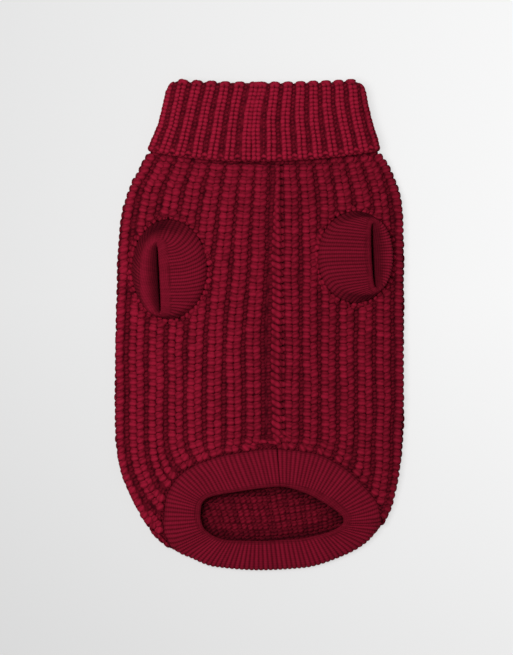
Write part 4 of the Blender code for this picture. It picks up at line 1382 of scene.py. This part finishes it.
# %% The cuffs' walls
CUFF_LIP_TONE = 0.78
rings = np.linspace(0, 5, 26)  # from the armhole at 0, over the crest, to the lip at 5
for name in CUFF_RINGS:
    middle = cuff_middle(name, 3 * CUFF_RIBS, rings)
    count = len(middle)
    phase = np.linspace(0, CUFF_RIBS, count)
    on_left = np.arange(count) < count / 2
    outer_side = on_left if name == "cuff_left" else ~on_left
    # 1 at the two tips of the cuff and 0 halfway between them.
    tips = np.abs(np.cos(2 * math.pi * np.arange(count) / (count - 1)))[:, None]
    # Painted shade: darker by the armhole, under the tips, low on the outer side and where it
    # goes into the slit, with a painted highlight along the outer side's crest.
    seam_shade = 0.35 + 0.65 * ease(rings / (1.0 + 2.2 * tips ** 4))
    tip_shade = 1 - 0.5 * tips ** 6 * np.exp(-((rings - 1.8) / 0.5) ** 2)
    slit_shade = 1 - CUFF_SLIT_SHADE[name] * ease((rings - 3.1) / 1.6)
    shaded = (0.55 + 0.6 * ease((rings - 1.8) / 1.3)) * slit_shade
    depth = np.where(outer_side[:, None], shaded, 1.0) * seam_shade * tip_shade
    cuff = fine_rib_wall(name + "_fine_rib", middle, phase, CUFF_WALL / 2, CUFF_RIB, 1.0,
                         np.where(on_left, *CUFF_LIP[name]), CUFF_LIP_TONE,
                         depth * CUFF_SIDE_SHADE[name], True)
    dress(cuff, name)

# %% [markdown]
# ## Floor, light and camera
#
# Knitwear is shown from straight above on a pale board. The board is the top of a light
# table, so that hardly any shadow shows beside the sweater and its edges stay bright.
# Painted light makes its glow and its colour a little brighter to the right and the top.
# A soft light above, a little to the left, models the ribs.

# %% The pale board
BOARD_GLOW = 0.93  # brightness that the lamps under the board give it
BOARD_TINT = 0.25  # how much of the light from above the board gives back


def opal_board():
    """The opal acrylic top of a light table: plain, matte and faintly grained."""
    material, tree, shader, coords = matte("opal_acrylic_light_table", {
        "Emission Strength": BOARD_GLOW, "Roughness": 0.9, "Specular IOR Level": 0.2})
    # Grain of about 0.5 mm.
    grain = colours(tree, speckle(tree, coords, 2000.0, 2.0), "#e3e3e3", "#e9e9e9")
    # Painted light: it glows less and is darker to the left and to the bottom.
    place = add(tree, "ShaderNodeSeparateXYZ", _0=coords.outputs["Object"])
    light_falloff = maths(tree, "MULTIPLY", ranged(tree, place.outputs["X"], 0.81, 1.0, -0.19, 0.19),
                 ranged(tree, place.outputs["Y"], 0.905, 1.0, -0.24, 0.02))
    tint = add(tree, "ShaderNodeVectorMath", {"operation": "SCALE"}, _0=grain, Scale=light_falloff)
    lit = add(tree, "ShaderNodeVectorMath", {"operation": "SCALE", "Scale": BOARD_TINT},
              _0=tint.outputs["Vector"])
    tree.links.new(lit.outputs["Vector"], shader.inputs["Base Color"])
    tree.links.new(tint.outputs["Vector"], shader.inputs["Emission Color"])
    return material


mesh = bmesh.new()
bmesh.ops.create_grid(mesh, x_segments=4, y_segments=4, size=2.0)
board = new_piece("board", mesh_data("board", mesh), opal_board())

# %% Soft light
KEY_PLACE = (-0.42, 0.14, 1.25)
KEY_SIZE = 0.7
KEY_WATTS = 16.4
ROOM_LIGHT = 0.30
scene = bpy.context.scene
scene.view_settings.view_transform = "Standard"
scene.world = bpy.data.worlds.new("soft_room")
scene.world.use_nodes = True
room = scene.world.node_tree.nodes["Background"]
room.inputs["Color"].default_value = linear("#f4f5f7")
room.inputs["Strength"].default_value = ROOM_LIGHT
box = bpy.data.lights.new("key", "AREA")
box.size = KEY_SIZE
box.energy = KEY_WATTS
key = bpy.data.objects.new("key", box)
scene.collection.objects.link(key)
key.location = KEY_PLACE
key.rotation_euler = key.location.to_track_quat("Z", "Y").to_euler()

# %% The camera, straight above
FRAME_TALL = 0.4749  # height of what the frame shows at the sweater, in metres
FRAME_CENTRE = (-0.0022, -0.0018)
CAMERA_HEIGHT = 1.9
SWEATER_LEVEL = 0.010  # where the frame's height is measured
SENSOR_TALL = 24.0  # in millimetres
lens = bpy.data.cameras.new("overhead")
lens.sensor_fit = "VERTICAL"
lens.sensor_height = SENSOR_TALL
lens.lens = SENSOR_TALL * (CAMERA_HEIGHT - SWEATER_LEVEL) / FRAME_TALL
camera = bpy.data.objects.new("overhead", lens)
scene.collection.objects.link(camera)
camera.location = (*FRAME_CENTRE, CAMERA_HEIGHT)
camera.rotation_euler = (0, 0, 0)
scene.camera = camera
print("lens", round(lens.lens, 1), "mm")
